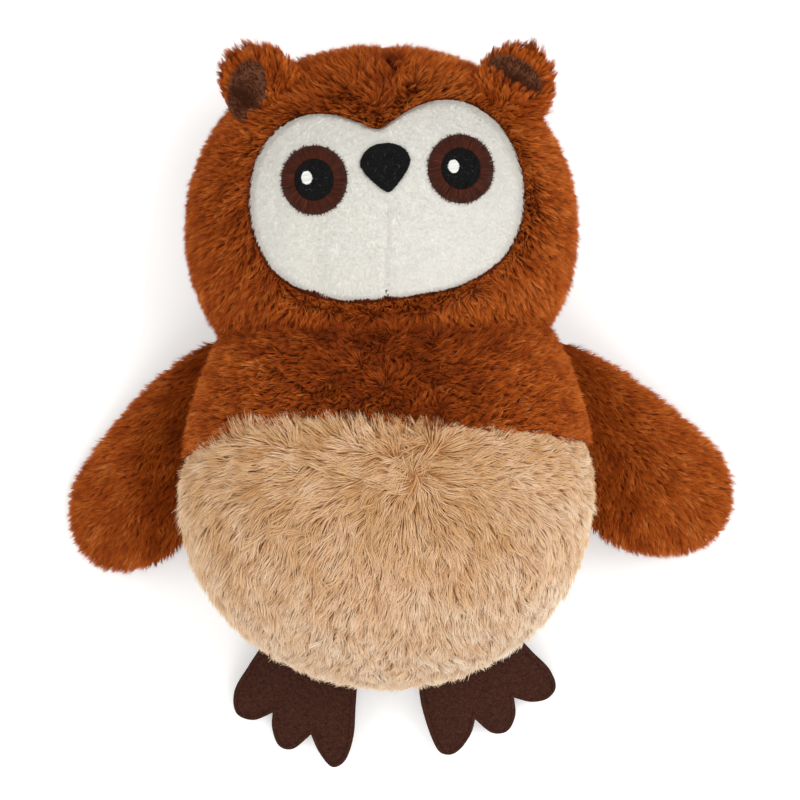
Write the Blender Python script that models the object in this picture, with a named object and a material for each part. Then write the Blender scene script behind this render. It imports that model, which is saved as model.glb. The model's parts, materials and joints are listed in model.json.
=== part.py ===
"""Plush owl, laid on its back: fur covers over stuffing, embroidered face, sewn-in wings and felt feet.

Metres. +Y runs from the feet to the crown, +Z out of the face and belly, +X to the right as the owl is seen.
The origin lies on the flat rest area of the back, at the height of the floor.
"""

import math

import bmesh
import bpy
from mathutils import Matrix, Vector

# Clearances and cloth
GAP = 0.0003
FLAT_DEPTH = 0.0005
OVERRUN = 0.004
BODY_CLOTH = 0.004
HEAD_CLOTH = 0.004
WING_CLOTH = 0.003
FELT_PLY = 0.0015

# Body: an egg whose widest place is the belly
BODY_WIDTH = 0.164
BODY_FRONT = 0.060
BODY_BACK = 0.0525
BODY_BELLY_Y = 0.002
BODY_TO_BOTTOM = 0.078
BODY_TO_TOP = 0.108
BODY_SAG = 0.007
BODY_SEAM_Z = 0.029
BELLY_SEAM_Y = 0.031
BODY_SEGMENTS = 28
BODY_RINGS = 18
BODY_FULLNESS = 2.0

# Neck seam, where the egg of the head meets the egg of the body
NECK_Y = 0.068

# Head
HEAD_WIDTH = 0.155
HEAD_FRONT = 0.057
HEAD_BACK = 0.0505
HEAD_MIDDLE_X = -0.0025
HEAD_MIDDLE_Y = 0.107
HEAD_TO_CROWN = 0.0735
HEAD_TO_CHIN = 0.070
HEAD_SEAM_X = -0.0012
HEAD_SEAM_Z = 0.046
HEAD_SEGMENTS = 30
HEAD_RINGS = 18
HEAD_FULLNESS = 2.1

# Section of every stuffed egg: rounder in front, flatter behind
FRONT_ROUNDNESS = 2.2
BACK_ROUNDNESS = 2.8
POLE_SHARE = 0.0001

# Face cloth, seen from the front
FACE_WIDTH = 0.107
FACE_HEIGHT = 0.0750
FACE_MIDDLE = (-0.0002, 0.1158)
FACE_ROLL = math.radians(6.5)
FACE_SINK = 0.001
FACE_CUT_Z = 0.056
FACE_CUT_TOP = 0.130
FACE_OUTLINE_SHARES = (
    (0.00, 0.78),
    (0.12, 0.86),
    (0.30, 0.98),
    (0.50, 1.02),
    (0.70, 0.93),
    (0.87, 0.70),
    (0.97, 0.38),
    (1.00, 0.02),
    (0.95, -0.36),
    (0.82, -0.66),
    (0.60, -0.87),
    (0.32, -0.98),
    (0.00, -1.00),
)

# Embroidered eyes and beak, placed on the rolled face
EYE_SPACING = 0.0566
EYE_MIDDLE = (0.0000, 0.1268)
EYE_ROLL = math.radians(4.5)
EYE_RING_WIDTH = 0.0261
EYE_RING_HEIGHT = 0.0275
EYE_RING_RISE = 0.0010
PUPIL_WIDTH = 0.0150
PUPIL_HEIGHT = 0.0161
PUPIL_RISE = 0.0013
GLINT_WIDTH = 0.0050
GLINT_SHIFT = (-0.0028, 0.0008)
EYE_SIDES = 24
GLINT_SIDES = 12
BEAK_WIDTH = 0.0192
BEAK_HEIGHT = 0.0192
BEAK_MIDDLE = (-0.0006, 0.1292)
BEAK_RISE = 0.0014
BEAK_OUTLINE_SHARES = (
    (0.00, 1.00),
    (0.42, 0.93),
    (0.80, 0.68),
    (1.00, 0.28),
    (0.90, -0.08),
    (0.62, -0.46),
    (0.28, -0.82),
    (0.00, -1.00),
)

# Ears: small stuffed lobes with a plush lining let into the front
EAR_WIDTH = 0.032
EAR_LENGTH = 0.036
EAR_THICKNESS = 0.018
EAR_FULLNESS = 2.0
EAR_SPACING = 0.0975
EAR_MIDDLE = (-0.0006, 0.1608, 0.0745)
EAR_LEAN = math.radians(32.0)
EAR_LINING_WIDTH = 0.0230
EAR_LINING_HEIGHT = 0.0160
EAR_LINING_DEPTH = 0.006
EAR_LINING_SHIFTS = ((-0.0036, 0.0014), (0.0000, 0.0050))
EAR_LINING_TURNS = (math.radians(42.0), 0.0)
EAR_SEGMENTS = 16
EAR_RINGS = 10

# Wings: stuffed paddles that swing on the side seam of the shoulder
WING_WIDTH = 0.060
WING_THICKNESS = 0.024
WING_WIDEST_SHARE = 0.70
WING_LENGTH = 0.109
WING_SEAM_TURN = math.radians(12.0)
WING_SEAM_LENGTH = 0.036
WING_BELOW_NECK = 0.016
WING_START_ALONG = -0.015
WING_START_OUT = -0.004
WING_SPREADS = (math.radians(19.0), math.radians(27.0))
WING_ROOT_RADIUS = 0.003
WING_ROOT_START = 0.001
WING_ROOT_WEDGE = math.radians(24.0)
WING_SEGMENTS = 20
WING_RINGS = 12
WING_FULLNESS = 1.8

# Feet: two plies of felt, three toes, hanging from the bottom seam
FOOT_TURNS = (math.radians(-67.0), math.radians(-64.0))
FOOT_ROOT_WIDTH = 0.0400
FOOT_ROOT_HOLLOW = 0.0022
FOOT_HEM_RADIUS = FELT_PLY + GAP / 2
FOOT_HEM_LENGTH = 0.0240
FOOT_MIDDLES_X = (0.0320, 0.0350)
FOOT_HINGE_Z = 0.022
FOOT_SEWN_IN = (0.0, 0.0038)
FOOT_TOE_RADIUS = 0.0080
FOOT_TOES = ((0.0050, 0.0272), (0.0227, 0.0338), (0.0420, 0.0332))
FOOT_NOTCHES = ((0.0140, 0.0290), (0.0324, 0.0318))
FOOT_ARC_STEPS = 6
FOOT_ARCS = (
    (math.radians(200.0), math.radians(60.0)),
    (math.radians(130.0), math.radians(50.0)),
    (math.radians(120.0), math.radians(-20.0)),
)

ROUND_SIDES = 24
TANGENT_STEPS = 20
TANGENT_REACH = math.radians(80.0)


def clear_scene():
    for old in list(bpy.data.objects):
        bpy.data.objects.remove(old, do_unlink=True)


def cloth(name, colour, roughness):
    """A plain textile: its colour as seen, rough, and no metal."""
    material = bpy.data.materials.new(name)
    material.use_nodes = True
    shader = material.node_tree.nodes["Principled BSDF"]
    shader.inputs["Base Color"].default_value = (*colour, 1.0)
    shader.inputs["Roughness"].default_value = roughness
    shader.inputs["Metallic"].default_value = 0.0
    return material


def stuffed_egg(segments, rings, width, front, back, lower, upper, fullness):
    """A closed egg along Y around the origin, with its own half-lengths below and above and a flat back."""
    bm = bmesh.new()
    bmesh.ops.create_uvsphere(bm, u_segments=segments, v_segments=rings, radius=1)
    bmesh.ops.rotate(bm, verts=bm.verts, matrix=Matrix.Rotation(-math.pi / 2, 3, "X"))
    for vert in bm.verts:
        along = max(-1.0, min(1.0, vert.co.y))
        spread = math.hypot(vert.co.x, vert.co.z)
        share = max(0.0, 1 - abs(along) ** fullness) ** (1 / fullness)
        side = vert.co.x / spread if spread > POLE_SHARE else 0.0
        rise = vert.co.z / spread if spread > POLE_SHARE else 0.0
        roundness = FRONT_ROUNDNESS if rise > 0 else BACK_ROUNDNESS
        depth = front if rise > 0 else back
        vert.co.x = math.copysign(abs(side) ** (2 / roundness), side) * share * width / 2
        vert.co.z = math.copysign(abs(rise) ** (2 / roundness), rise) * share * depth
        vert.co.y = along * (upper if along > 0 else lower)
    bm.normal_update()
    return bm


def shrink(bm, depth):
    """Moves the whole surface inwards by depth."""
    bm.normal_update()
    for vert, normal in [(vert, vert.normal.copy()) for vert in bm.verts]:
        vert.co -= normal * depth
    return bm


def cut(bm, point, normal):
    """Cuts off what lies beyond the plane, on the side its normal points to, and closes the cut."""
    everything = bm.verts[:] + bm.edges[:] + bm.faces[:]
    made = bmesh.ops.bisect_plane(
        bm, geom=everything, plane_co=point, plane_no=normal, clear_outer=True
    )
    rim = [edge for edge in made["geom_cut"] if isinstance(edge, bmesh.types.BMEdge)]
    if rim:
        bmesh.ops.edgeloop_fill(bm, edges=rim)
    return bm


def prism(outline, low, high):
    """A closed prism over an outline in X and Y that runs anticlockwise."""
    bm = bmesh.new()
    base = bm.faces.new([bm.verts.new((x, y, low)) for x, y in outline])
    raised = bmesh.ops.extrude_face_region(bm, geom=[base])["geom"]
    lifted = [item for item in raised if isinstance(item, bmesh.types.BMVert)]
    bmesh.ops.translate(bm, verts=lifted, vec=(0, 0, high - low))
    bmesh.ops.recalc_face_normals(bm, faces=bm.faces)
    return bm


def rod(radius, start, length):
    """A round rod along X, from start."""
    bm = bmesh.new()
    bmesh.ops.create_cone(
        bm, cap_ends=True, segments=ROUND_SIDES, radius1=radius, radius2=radius, depth=length
    )
    lie = Matrix.Translation((start + length / 2, 0, 0)) @ Matrix.Rotation(math.pi / 2, 4, "Y")
    bm.transform(lie)
    return bm


def ellipse(centre, width, height, roll, sides):
    """Points of a rolled ellipse, anticlockwise."""
    points = []
    for step in range(sides):
        angle = 2 * math.pi * step / sides
        x, y = math.cos(angle) * width / 2, math.sin(angle) * height / 2
        points.append(
            (
                centre[0] + x * math.cos(roll) - y * math.sin(roll),
                centre[1] + x * math.sin(roll) + y * math.cos(roll),
            )
        )
    return points


def mirrored_outline(shares, centre, width, height, roll):
    """The outline whose right half the shares give from top to bottom, rolled about its centre."""
    right = [(x, y) for x, y in shares]
    left = [(-x, y) for x, y in shares[-2:0:-1]]
    points = []
    for x_share, y_share in reversed(right + left):
        x, y = x_share * width / 2, y_share * height / 2
        points.append(
            (
                centre[0] + x * math.cos(roll) - y * math.sin(roll),
                centre[1] + x * math.sin(roll) + y * math.cos(roll),
            )
        )
    return points


def put(name, bm, parent=None):
    mesh = bpy.data.meshes.new(name)
    bm.normal_update()
    bmesh.ops.recalc_face_normals(bm, faces=bm.faces)
    bm.to_mesh(mesh)
    bm.free()
    thing = bpy.data.objects.new(name, mesh)
    bpy.context.scene.collection.objects.link(thing)
    thing.parent = parent
    return thing


def cutter(name, bm, parent=None):
    tool = put(name, bm, parent)
    tool.hide_render = True
    tool.display_type = "WIRE"
    return tool


def piece(name, bm, material, parent=None, minus=(), plus=(), within=()):
    """One named piece, with its booleans left on it as modifiers."""
    thing = put(name, bm, parent)
    thing.data.materials.append(material)
    thing.data.shade_smooth()
    steps = [("UNION", tool) for tool in plus]
    steps += [("INTERSECT", tool) for tool in within]
    steps += [("DIFFERENCE", tool) for tool in minus]
    for operation, tool in steps:
        boolean = thing.modifiers.new(f"{operation.lower()} {tool.name}", "BOOLEAN")
        boolean.operation = operation
        boolean.object = tool
    return thing


def seam_offset(points, turn, height, clearance):
    """How far out a straight seam at this height lies so that it clears the body by the clearance."""
    outward = Vector((math.cos(turn), math.sin(turn), 0))
    offsets = []
    for step in range(-TANGENT_STEPS, TANGENT_STEPS + 1):
        slope = TANGENT_REACH * step / TANGENT_STEPS
        normal = outward * math.cos(slope) + Vector((0, 0, math.sin(slope)))
        support = max(point.dot(normal) for point in points)
        offsets.append((clearance + support - height * math.sin(slope)) / math.cos(slope))
    return min(offsets)


def seam_frame(start, turn, height, side):
    """A frame at the seam's start: Y outwards, Z up and X along the seam, on the left from its far end."""
    out = Vector((side * math.cos(turn), math.sin(turn), 0))
    along = Vector((out.y, -out.x, 0))
    turned = Matrix((along, out, Vector((0, 0, 1)))).transposed()
    return Matrix.Translation((side * start[0], start[1], height)) @ turned.to_4x4()


def handed(bm, side):
    """A shape made for the right side, where X runs along the seam, turned over for the left."""
    bm.transform(Matrix.Diagonal((side, 1, 1, 1)))
    return bm


def seam_groove(name, radius, length, side, frame):
    """Cuts the valley in which the root of a wing, a rolled edge of this radius, is sewn."""
    groove = handed(rod(radius + GAP, -GAP, length + 2 * GAP), side)
    groove.transform(frame)
    return cutter(name, groove)


def settle_angle(points, height):
    """How far a piece hanging from its seam droops until its first point meets the floor."""
    angles = []
    for point in points:
        reach = math.hypot(point.y, point.z)
        if reach > height:
            angles.append(math.atan2(point.z, point.y) + math.asin(height / reach))
    return min(angles)


def hinge(name, frame, droop):
    """An empty on the seam, whose X is the joint's axis and whose children lie flat in its X and Y."""
    empty = bpy.data.objects.new(name, None)
    bpy.context.scene.collection.objects.link(empty)
    empty.matrix_world = frame @ Matrix.Rotation(-droop, 4, "X")
    return empty


def body_egg(depth=0.0):
    """The body's egg, depth inside its outer surface, pressed flat on the floor and open to the neck."""
    bm = stuffed_egg(
        BODY_SEGMENTS,
        BODY_RINGS,
        BODY_WIDTH,
        BODY_FRONT,
        BODY_BACK,
        BODY_TO_BOTTOM,
        BODY_TO_TOP,
        BODY_FULLNESS,
    )
    for vert in bm.verts:
        lowness = max(0.0, -vert.co.y / BODY_TO_BOTTOM)
        vert.co.z -= BODY_SAG * lowness**2
    shrink(bm, depth)
    bmesh.ops.translate(bm, verts=bm.verts, vec=(0, BODY_BELLY_Y, BODY_BACK - FLAT_DEPTH))
    return cut(bm, (0, 0, depth), (0, 0, -1))


def head_egg(depth=0.0):
    """The head's egg, depth inside its outer surface, pressed flat on the floor."""
    bm = stuffed_egg(
        HEAD_SEGMENTS,
        HEAD_RINGS,
        HEAD_WIDTH,
        HEAD_FRONT,
        HEAD_BACK,
        HEAD_TO_CHIN,
        HEAD_TO_CROWN,
        HEAD_FULLNESS,
    )
    shrink(bm, depth)
    middle = (HEAD_MIDDLE_X, HEAD_MIDDLE_Y, HEAD_BACK - FLAT_DEPTH)
    bmesh.ops.translate(bm, verts=bm.verts, vec=middle)
    return cut(bm, (0, 0, max(depth, 0.0)), (0, 0, -1))


def below_neck(bm):
    return cut(bm, (0, NECK_Y - GAP / 2, 0), (0, 1, 0))


def above_neck(bm):
    return cut(bm, (0, NECK_Y + GAP / 2, 0), (0, -1, 0))


def make_body(fur, belly_fur, stuffing, grooves):
    """Chest, belly and back panels of fur around the stuffing, with the valleys of the wings' seams."""
    hollow = cutter("body_hollow", cut(body_egg(BODY_CLOTH), (0, NECK_Y + OVERRUN, 0), (0, 1, 0)))
    front_cut = (0, 0, BODY_SEAM_Z + GAP / 2), (0, 0, -1)
    chest = cut(cut(below_neck(body_egg()), *front_cut), (0, BELLY_SEAM_Y + GAP / 2, 0), (0, -1, 0))
    piece("chest_panel", chest, fur, minus=[hollow, *grooves])
    belly = cut(cut(body_egg(), *front_cut), (0, BELLY_SEAM_Y - GAP / 2, 0), (0, 1, 0))
    piece("belly_panel", belly, belly_fur, minus=[hollow, *grooves])
    back = cut(below_neck(body_egg()), (0, 0, BODY_SEAM_Z - GAP / 2), (0, 0, 1))
    piece("body_back_panel", back, fur, minus=[hollow, *grooves])
    piece("body_stuffing", below_neck(body_egg(BODY_CLOTH + GAP)), stuffing)


def make_head(fur, stuffing, hollow, face_hole):
    """Two front covers that meet in the crown seam around the face's hole, a back panel and the stuffing."""
    for side, name in ((-1, "head_cover_left"), (1, "head_cover_right")):
        cover = cut(above_neck(head_egg()), (0, 0, HEAD_SEAM_Z + GAP / 2), (0, 0, -1))
        cut(cover, (HEAD_SEAM_X + side * GAP / 2, 0, 0), (-side, 0, 0))
        piece(name, cover, fur, minus=[hollow, face_hole])
    back = cut(above_neck(head_egg()), (0, 0, HEAD_SEAM_Z - GAP / 2), (0, 0, 1))
    piece("head_back_panel", back, fur, minus=[hollow])
    piece("head_stuffing", above_neck(head_egg(HEAD_CLOTH + GAP)), stuffing)


def face_outline(grow):
    """The face cloth's edge, moved outwards by grow."""
    size = (FACE_WIDTH + 2 * grow, FACE_HEIGHT + 2 * grow)
    return mirrored_outline(FACE_OUTLINE_SHARES, FACE_MIDDLE, *size, FACE_ROLL)


def make_face(plush, hollow):
    """The pale face cloth in two halves, joined by the seam that runs from the beak to the chin."""
    edge = cutter("face_edge", prism(face_outline(-GAP / 2), FACE_CUT_Z, FACE_CUT_TOP))
    for side, name in ((-1, "face_panel_left"), (1, "face_panel_right")):
        half = cut(head_egg(FACE_SINK), (FACE_MIDDLE[0] + side * GAP / 2, 0, 0), (-side, 0, 0))
        cut(half, (0, 0, HEAD_SEAM_Z + GAP / 2), (0, 0, -1))
        piece(name, half, plush, within=[edge], minus=[hollow])


def on_face(name, outline, rise, thread, under, holes=()):
    """A stitched patch of an outline that stands rise above the face cloth."""
    cover = cutter(f"{name}_top", head_egg(FACE_SINK - GAP - rise))
    patch = prism(outline, FACE_CUT_Z, FACE_CUT_TOP)
    return piece(name, patch, thread, within=[cover], minus=[under, *holes])


def make_eyes(ring_thread, pupil_thread, glint_thread, under):
    """Each eye is a stitched ring, a pupil inside it, and a small pale glint inside that."""
    for side, name in ((-1, "left"), (1, "right")):
        centre = (
            EYE_MIDDLE[0] + side * math.cos(EYE_ROLL) * EYE_SPACING / 2,
            EYE_MIDDLE[1] + side * math.sin(EYE_ROLL) * EYE_SPACING / 2,
        )
        glint_at = (centre[0] + GLINT_SHIFT[0], centre[1] + GLINT_SHIFT[1])
        ring = ellipse(centre, EYE_RING_WIDTH, EYE_RING_HEIGHT, EYE_ROLL, EYE_SIDES)
        pupil = ellipse(centre, PUPIL_WIDTH, PUPIL_HEIGHT, EYE_ROLL, EYE_SIDES)
        pupil_hole = ellipse(
            centre, PUPIL_WIDTH + 2 * GAP, PUPIL_HEIGHT + 2 * GAP, EYE_ROLL, EYE_SIDES
        )
        glint = ellipse(glint_at, GLINT_WIDTH, GLINT_WIDTH, 0, GLINT_SIDES)
        glint_hole = ellipse(
            glint_at, GLINT_WIDTH + 2 * GAP, GLINT_WIDTH + 2 * GAP, 0, GLINT_SIDES
        )
        low, high = FACE_CUT_Z - OVERRUN, FACE_CUT_TOP + OVERRUN
        pupil_cut = cutter(f"pupil_hole_{name}", prism(pupil_hole, low, high))
        glint_cut = cutter(f"glint_hole_{name}", prism(glint_hole, low, high))
        on_face(f"eye_ring_{name}", ring, EYE_RING_RISE, ring_thread, under, [pupil_cut])
        on_face(f"pupil_{name}", pupil, PUPIL_RISE, pupil_thread, under, [glint_cut])
        on_face(f"eye_glint_{name}", glint, PUPIL_RISE, glint_thread, under)


def make_beak(thread, under):
    outline = mirrored_outline(BEAK_OUTLINE_SHARES, BEAK_MIDDLE, BEAK_WIDTH, BEAK_HEIGHT, FACE_ROLL)
    on_face("beak", outline, BEAK_RISE, thread, under)


def make_ears(fur, lining):
    """Stuffed lobes sewn to the crown, each with a lining let into its front."""
    crown = cutter("head_bed", head_egg(-GAP))
    sides = ((-1, "left"), (1, "right"))
    for (side, name), shift, turn in zip(sides, EAR_LINING_SHIFTS, EAR_LINING_TURNS):
        seat = Matrix.Translation(
            (EAR_MIDDLE[0] + side * EAR_SPACING / 2, EAR_MIDDLE[1], EAR_MIDDLE[2])
        ) @ Matrix.Rotation(-side * EAR_LEAN, 4, "Z")
        half = EAR_THICKNESS / 2
        size = (EAR_WIDTH, half, half, EAR_LENGTH / 2, EAR_LENGTH / 2, EAR_FULLNESS)
        lobe = stuffed_egg(EAR_SEGMENTS, EAR_RINGS, *size)
        lobe.transform(seat)
        floor = half - EAR_LINING_DEPTH
        inset = (EAR_LINING_WIDTH, EAR_LINING_HEIGHT)
        pocket_size = (EAR_LINING_WIDTH + 2 * GAP, EAR_LINING_HEIGHT + 2 * GAP)
        pocket = prism(ellipse(shift, *pocket_size, turn, EAR_SEGMENTS), floor, EAR_THICKNESS)
        pocket.transform(seat)
        recess = cutter(f"ear_pocket_{name}", pocket)
        piece(f"ear_{name}", lobe, fur, minus=[crown, recess])
        patch = prism(ellipse(shift, *inset, turn, EAR_SEGMENTS), floor + GAP, half + OVERRUN)
        patch.transform(seat)
        front = stuffed_egg(EAR_SEGMENTS, EAR_RINGS, *size)
        front.transform(seat)
        shape = cutter(f"ear_front_{name}", front)
        piece(f"ear_lining_{name}", patch, lining, within=[shape], minus=[crown])


def wing_lobe(spread, depth):
    """The wing's egg in its hinge frame, X along the seam and Y outwards, depth inside its outer surface."""
    half = WING_THICKNESS / 2
    upper = WING_LENGTH * WING_WIDEST_SHARE
    bm = stuffed_egg(
        WING_SEGMENTS,
        WING_RINGS,
        WING_WIDTH,
        half,
        half,
        WING_LENGTH - upper,
        upper,
        WING_FULLNESS,
    )
    shrink(bm, depth)
    bmesh.ops.translate(bm, verts=bm.verts, vec=(0, -upper, 0))
    turn = Matrix.Rotation(math.pi / 2 + spread, 4, "Z")
    bm.transform(Matrix.Translation((WING_START_ALONG, WING_START_OUT, 0)) @ turn)
    for rise in (-1, 1):
        normal = Vector((0, -math.sin(WING_ROOT_WEDGE), rise * math.cos(WING_ROOT_WEDGE)))
        cut(bm, -normal * depth, normal)
    return bm


def make_wing(side, name, spread, frame, fur, stuffing):
    """Front and back covers over the stuffing; the front cover carries the rolled edge sewn into the seam."""
    start = WING_ROOT_RADIUS + 2 * GAP
    whole = cut(wing_lobe(spread, 0.0), (0, start, 0), (0, -1, 0))
    droop = settle_angle([vert.co for vert in whole.verts], frame.translation.z + FLAT_DEPTH)
    whole.free()
    swing = hinge(f"wing_{name}_hinge", frame, droop)
    floor_normal = Matrix.Rotation(droop, 3, "X") @ Vector((0, 0, -1))

    def on_floor(bm, depth=0.0):
        return cut(bm, floor_normal * (frame.translation.z - depth), floor_normal)

    hollow_start = start + WING_CLOTH
    inside = cut(wing_lobe(spread, WING_CLOTH), (0, hollow_start, 0), (0, -1, 0))
    hollow = on_floor(inside, WING_CLOTH)
    room = cutter(f"wing_{name}_hollow", handed(hollow, side), swing)
    edge = handed(rod(WING_ROOT_RADIUS, 0, WING_SEAM_LENGTH), side)
    root = cutter(f"wing_{name}_root", edge, swing)
    front = cut(wing_lobe(spread, 0.0), (0, WING_ROOT_START, 0), (0, -1, 0))
    front = on_floor(cut(front, (0, 0, GAP / 2), (0, 0, -1)))
    piece(f"wing_{name}_front_cover", handed(front, side), fur, swing, plus=[root], minus=[room])
    back = cut(wing_lobe(spread, 0.0), (0, start, 0), (0, -1, 0))
    back = on_floor(cut(back, (0, 0, -GAP / 2), (0, 0, 1)))
    piece(f"wing_{name}_back_cover", handed(back, side), fur, swing, minus=[room])
    fill = cut(wing_lobe(spread, WING_CLOTH + GAP), (0, hollow_start + GAP, 0), (0, -1, 0))
    fill = handed(on_floor(fill, WING_CLOTH + GAP), side)
    piece(f"wing_{name}_stuffing", fill, stuffing, swing)


def foot_outline(sewn_in):
    """The felt's edge in its hinge frame: the hollow root that follows the body, then round the toes.

    The seam takes in this much more of the felt than on the foot that shows most.
    """
    points = []
    for step in range(FOOT_ARC_STEPS + 1):
        share = 1 - step / FOOT_ARC_STEPS
        points.append((share * FOOT_ROOT_WIDTH, -FOOT_ROOT_HOLLOW * (2 * share - 1) ** 2))
    for toe, (centre, (first, last)) in enumerate(zip(FOOT_TOES, FOOT_ARCS)):
        for step in range(FOOT_ARC_STEPS + 1):
            angle = first + (last - first) * step / FOOT_ARC_STEPS
            points.append(
                (
                    centre[0] + FOOT_TOE_RADIUS * math.cos(angle),
                    centre[1] - sewn_in + FOOT_TOE_RADIUS * math.sin(angle),
                )
            )
        if toe < len(FOOT_NOTCHES):
            points.append((FOOT_NOTCHES[toe][0], FOOT_NOTCHES[toe][1] - sewn_in))
    return points


def foot_frame(body_points, side, middle_x, turn):
    """The foot's hinge frame: its seam just clears the body, its middle this far from the midline."""
    out = seam_offset(body_points, turn, FOOT_HINGE_Z, FOOT_HEM_RADIUS + GAP)
    middle_y = (out - middle_x * math.cos(turn)) / math.sin(turn)
    half_root = FOOT_ROOT_WIDTH / 2
    start = (middle_x - half_root * math.sin(turn), middle_y + half_root * math.cos(turn))
    return seam_frame(start, turn, FOOT_HINGE_Z, side)


def make_foot(side, name, sewn_in, frame, felt):
    """Two plies of felt, stitched together and hung from the bottom seam by the upper ply's rolled hem."""
    outline = foot_outline(sewn_in)
    corners = [Vector((x, y, -FELT_PLY - GAP / 2)) for x, y in outline]
    droop = settle_angle(corners, frame.translation.z)
    swing = hinge(f"foot_{name}_hinge", frame, droop)
    upper = prism(outline, GAP / 2, GAP / 2 + FELT_PLY)
    lower = prism(outline, -GAP / 2 - FELT_PLY, -GAP / 2)
    hem_start = (FOOT_ROOT_WIDTH - FOOT_HEM_LENGTH) / 2
    roll = handed(rod(FOOT_HEM_RADIUS, hem_start, FOOT_HEM_LENGTH), side)
    hem = cutter(f"foot_{name}_hem", roll, swing)
    room_around = rod(FOOT_HEM_RADIUS + GAP, hem_start - GAP, FOOT_HEM_LENGTH + 2 * GAP)
    room = cutter(f"foot_{name}_hem_room", handed(room_around, side), swing)
    piece(f"foot_{name}_upper_felt", handed(upper, side), felt, swing, plus=[hem])
    piece(f"foot_{name}_lower_felt", handed(lower, side), felt, swing, minus=[room])


def main():
    clear_scene()
    fur = cloth("brown_fur", (0.198, 0.033, 0.006), 0.95)
    belly_fur = cloth("beige_fur", (0.571, 0.328, 0.178), 0.95)
    plush = cloth("white_plush", (0.745, 0.723, 0.651), 0.9)
    ring_thread = cloth("dark_brown_thread", (0.045, 0.015, 0.010), 0.6)
    black_thread = cloth("black_thread", (0.012, 0.011, 0.011), 0.5)
    pale_thread = cloth("pale_thread", (0.658, 0.665, 0.617), 0.5)
    felt = cloth("brown_felt", (0.044, 0.016, 0.010), 0.95)
    ear_plush = cloth("ear_plush", (0.095, 0.031, 0.012), 0.9)
    stuffing = cloth("polyester_stuffing", (0.80, 0.80, 0.78), 1.0)

    egg = body_egg()
    body_points = [vert.co.copy() for vert in egg.verts]
    egg.free()
    wing_out = seam_offset(body_points, WING_SEAM_TURN, BODY_SEAM_Z, 0)
    wing_y = NECK_Y - WING_BELOW_NECK
    wing_start = ((wing_out - wing_y * math.sin(WING_SEAM_TURN)) / math.cos(WING_SEAM_TURN), wing_y)
    sides = ((-1, "left"), (1, "right"))
    wing_frames = [seam_frame(wing_start, WING_SEAM_TURN, BODY_SEAM_Z, side) for side, name in sides]
    foot_frames = [
        foot_frame(body_points, side, middle_x, turn)
        for (side, name), middle_x, turn in zip(sides, FOOT_MIDDLES_X, FOOT_TURNS)
    ]
    grooves = [
        seam_groove(f"wing_groove_{name}", WING_ROOT_RADIUS, WING_SEAM_LENGTH, side, frame)
        for (side, name), frame in zip(sides, wing_frames)
    ]
    make_body(fur, belly_fur, stuffing, grooves)

    hollow = cutter("head_hollow", head_egg(HEAD_CLOTH))
    face_hole = cutter("face_hole", prism(face_outline(GAP / 2), FACE_CUT_Z - GAP, FACE_CUT_TOP))
    under = cutter("face_bed", head_egg(FACE_SINK - GAP))
    make_head(fur, stuffing, hollow, face_hole)
    make_face(plush, hollow)
    make_eyes(ring_thread, black_thread, pale_thread, under)
    make_beak(black_thread, under)
    make_ears(fur, ear_plush)
    for (side, name), spread, frame in zip(sides, WING_SPREADS, wing_frames):
        make_wing(side, name, spread, frame, fur, stuffing)
    for (side, name), sewn_in, frame in zip(sides, FOOT_SEWN_IN, foot_frames):
        make_foot(side, name, sewn_in, frame, felt)


main()
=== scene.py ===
import json
import math

import bmesh
import bpy
import numpy as np
from mathutils import Matrix, Vector
from mathutils.bvhtree import BVHTree
from mathutils.kdtree import KDTree


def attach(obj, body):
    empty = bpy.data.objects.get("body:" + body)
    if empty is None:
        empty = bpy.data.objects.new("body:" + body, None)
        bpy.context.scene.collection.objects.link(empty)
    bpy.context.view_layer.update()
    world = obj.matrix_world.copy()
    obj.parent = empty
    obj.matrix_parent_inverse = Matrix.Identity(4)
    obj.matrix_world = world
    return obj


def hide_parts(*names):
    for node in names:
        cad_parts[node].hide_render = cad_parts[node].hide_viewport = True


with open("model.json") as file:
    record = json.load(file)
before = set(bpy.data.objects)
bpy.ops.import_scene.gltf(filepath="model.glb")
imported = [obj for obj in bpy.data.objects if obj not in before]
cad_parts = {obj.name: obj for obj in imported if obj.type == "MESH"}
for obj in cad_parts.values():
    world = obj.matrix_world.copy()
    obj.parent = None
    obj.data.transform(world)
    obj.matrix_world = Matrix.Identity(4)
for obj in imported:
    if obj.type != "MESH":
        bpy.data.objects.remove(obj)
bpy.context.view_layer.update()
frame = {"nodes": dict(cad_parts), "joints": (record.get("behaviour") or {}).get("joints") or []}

# Stuffing
# Loose polyester fill, teased into wads and pushed in through a gap in each seam before it was closed.
# It stays out of sight inside the covers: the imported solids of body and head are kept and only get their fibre
# finish, and the wings' fill is made with the wings.


def linear(code):
    """An sRGB hex colour as the linear colour that the shaders take."""
    parts = [int(code[at : at + 2], 16) / 255 for at in (1, 3, 5)]
    return (*[c / 12.92 if c <= 0.04045 else ((c + 0.055) / 1.055) ** 2.4 for c in parts], 1.0)


def add(tree, kind, sockets=None, stops=(), **options):
    """Adds a node, sets its options and its ramp, and gives each socket named a link or a value."""
    node = tree.nodes.new(kind)
    for option, value in options.items():
        setattr(node, option, value)
    for at, (place, code) in enumerate(stops):
        marks = node.color_ramp.elements
        mark = marks[at] if at < 2 else marks.new(place)
        mark.position = place
        mark.color = linear(code)
    for socket, value in (sockets or {}).items():
        if isinstance(value, bpy.types.NodeSocket):
            tree.links.new(value, node.inputs[socket])
        else:
            node.inputs[socket].default_value = value
    return node


def new_finish(name):
    """An empty material and its tree."""
    finish = bpy.data.materials.new(name)
    finish.use_nodes = True
    finish.node_tree.nodes.clear()
    return finish, finish.node_tree


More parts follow.
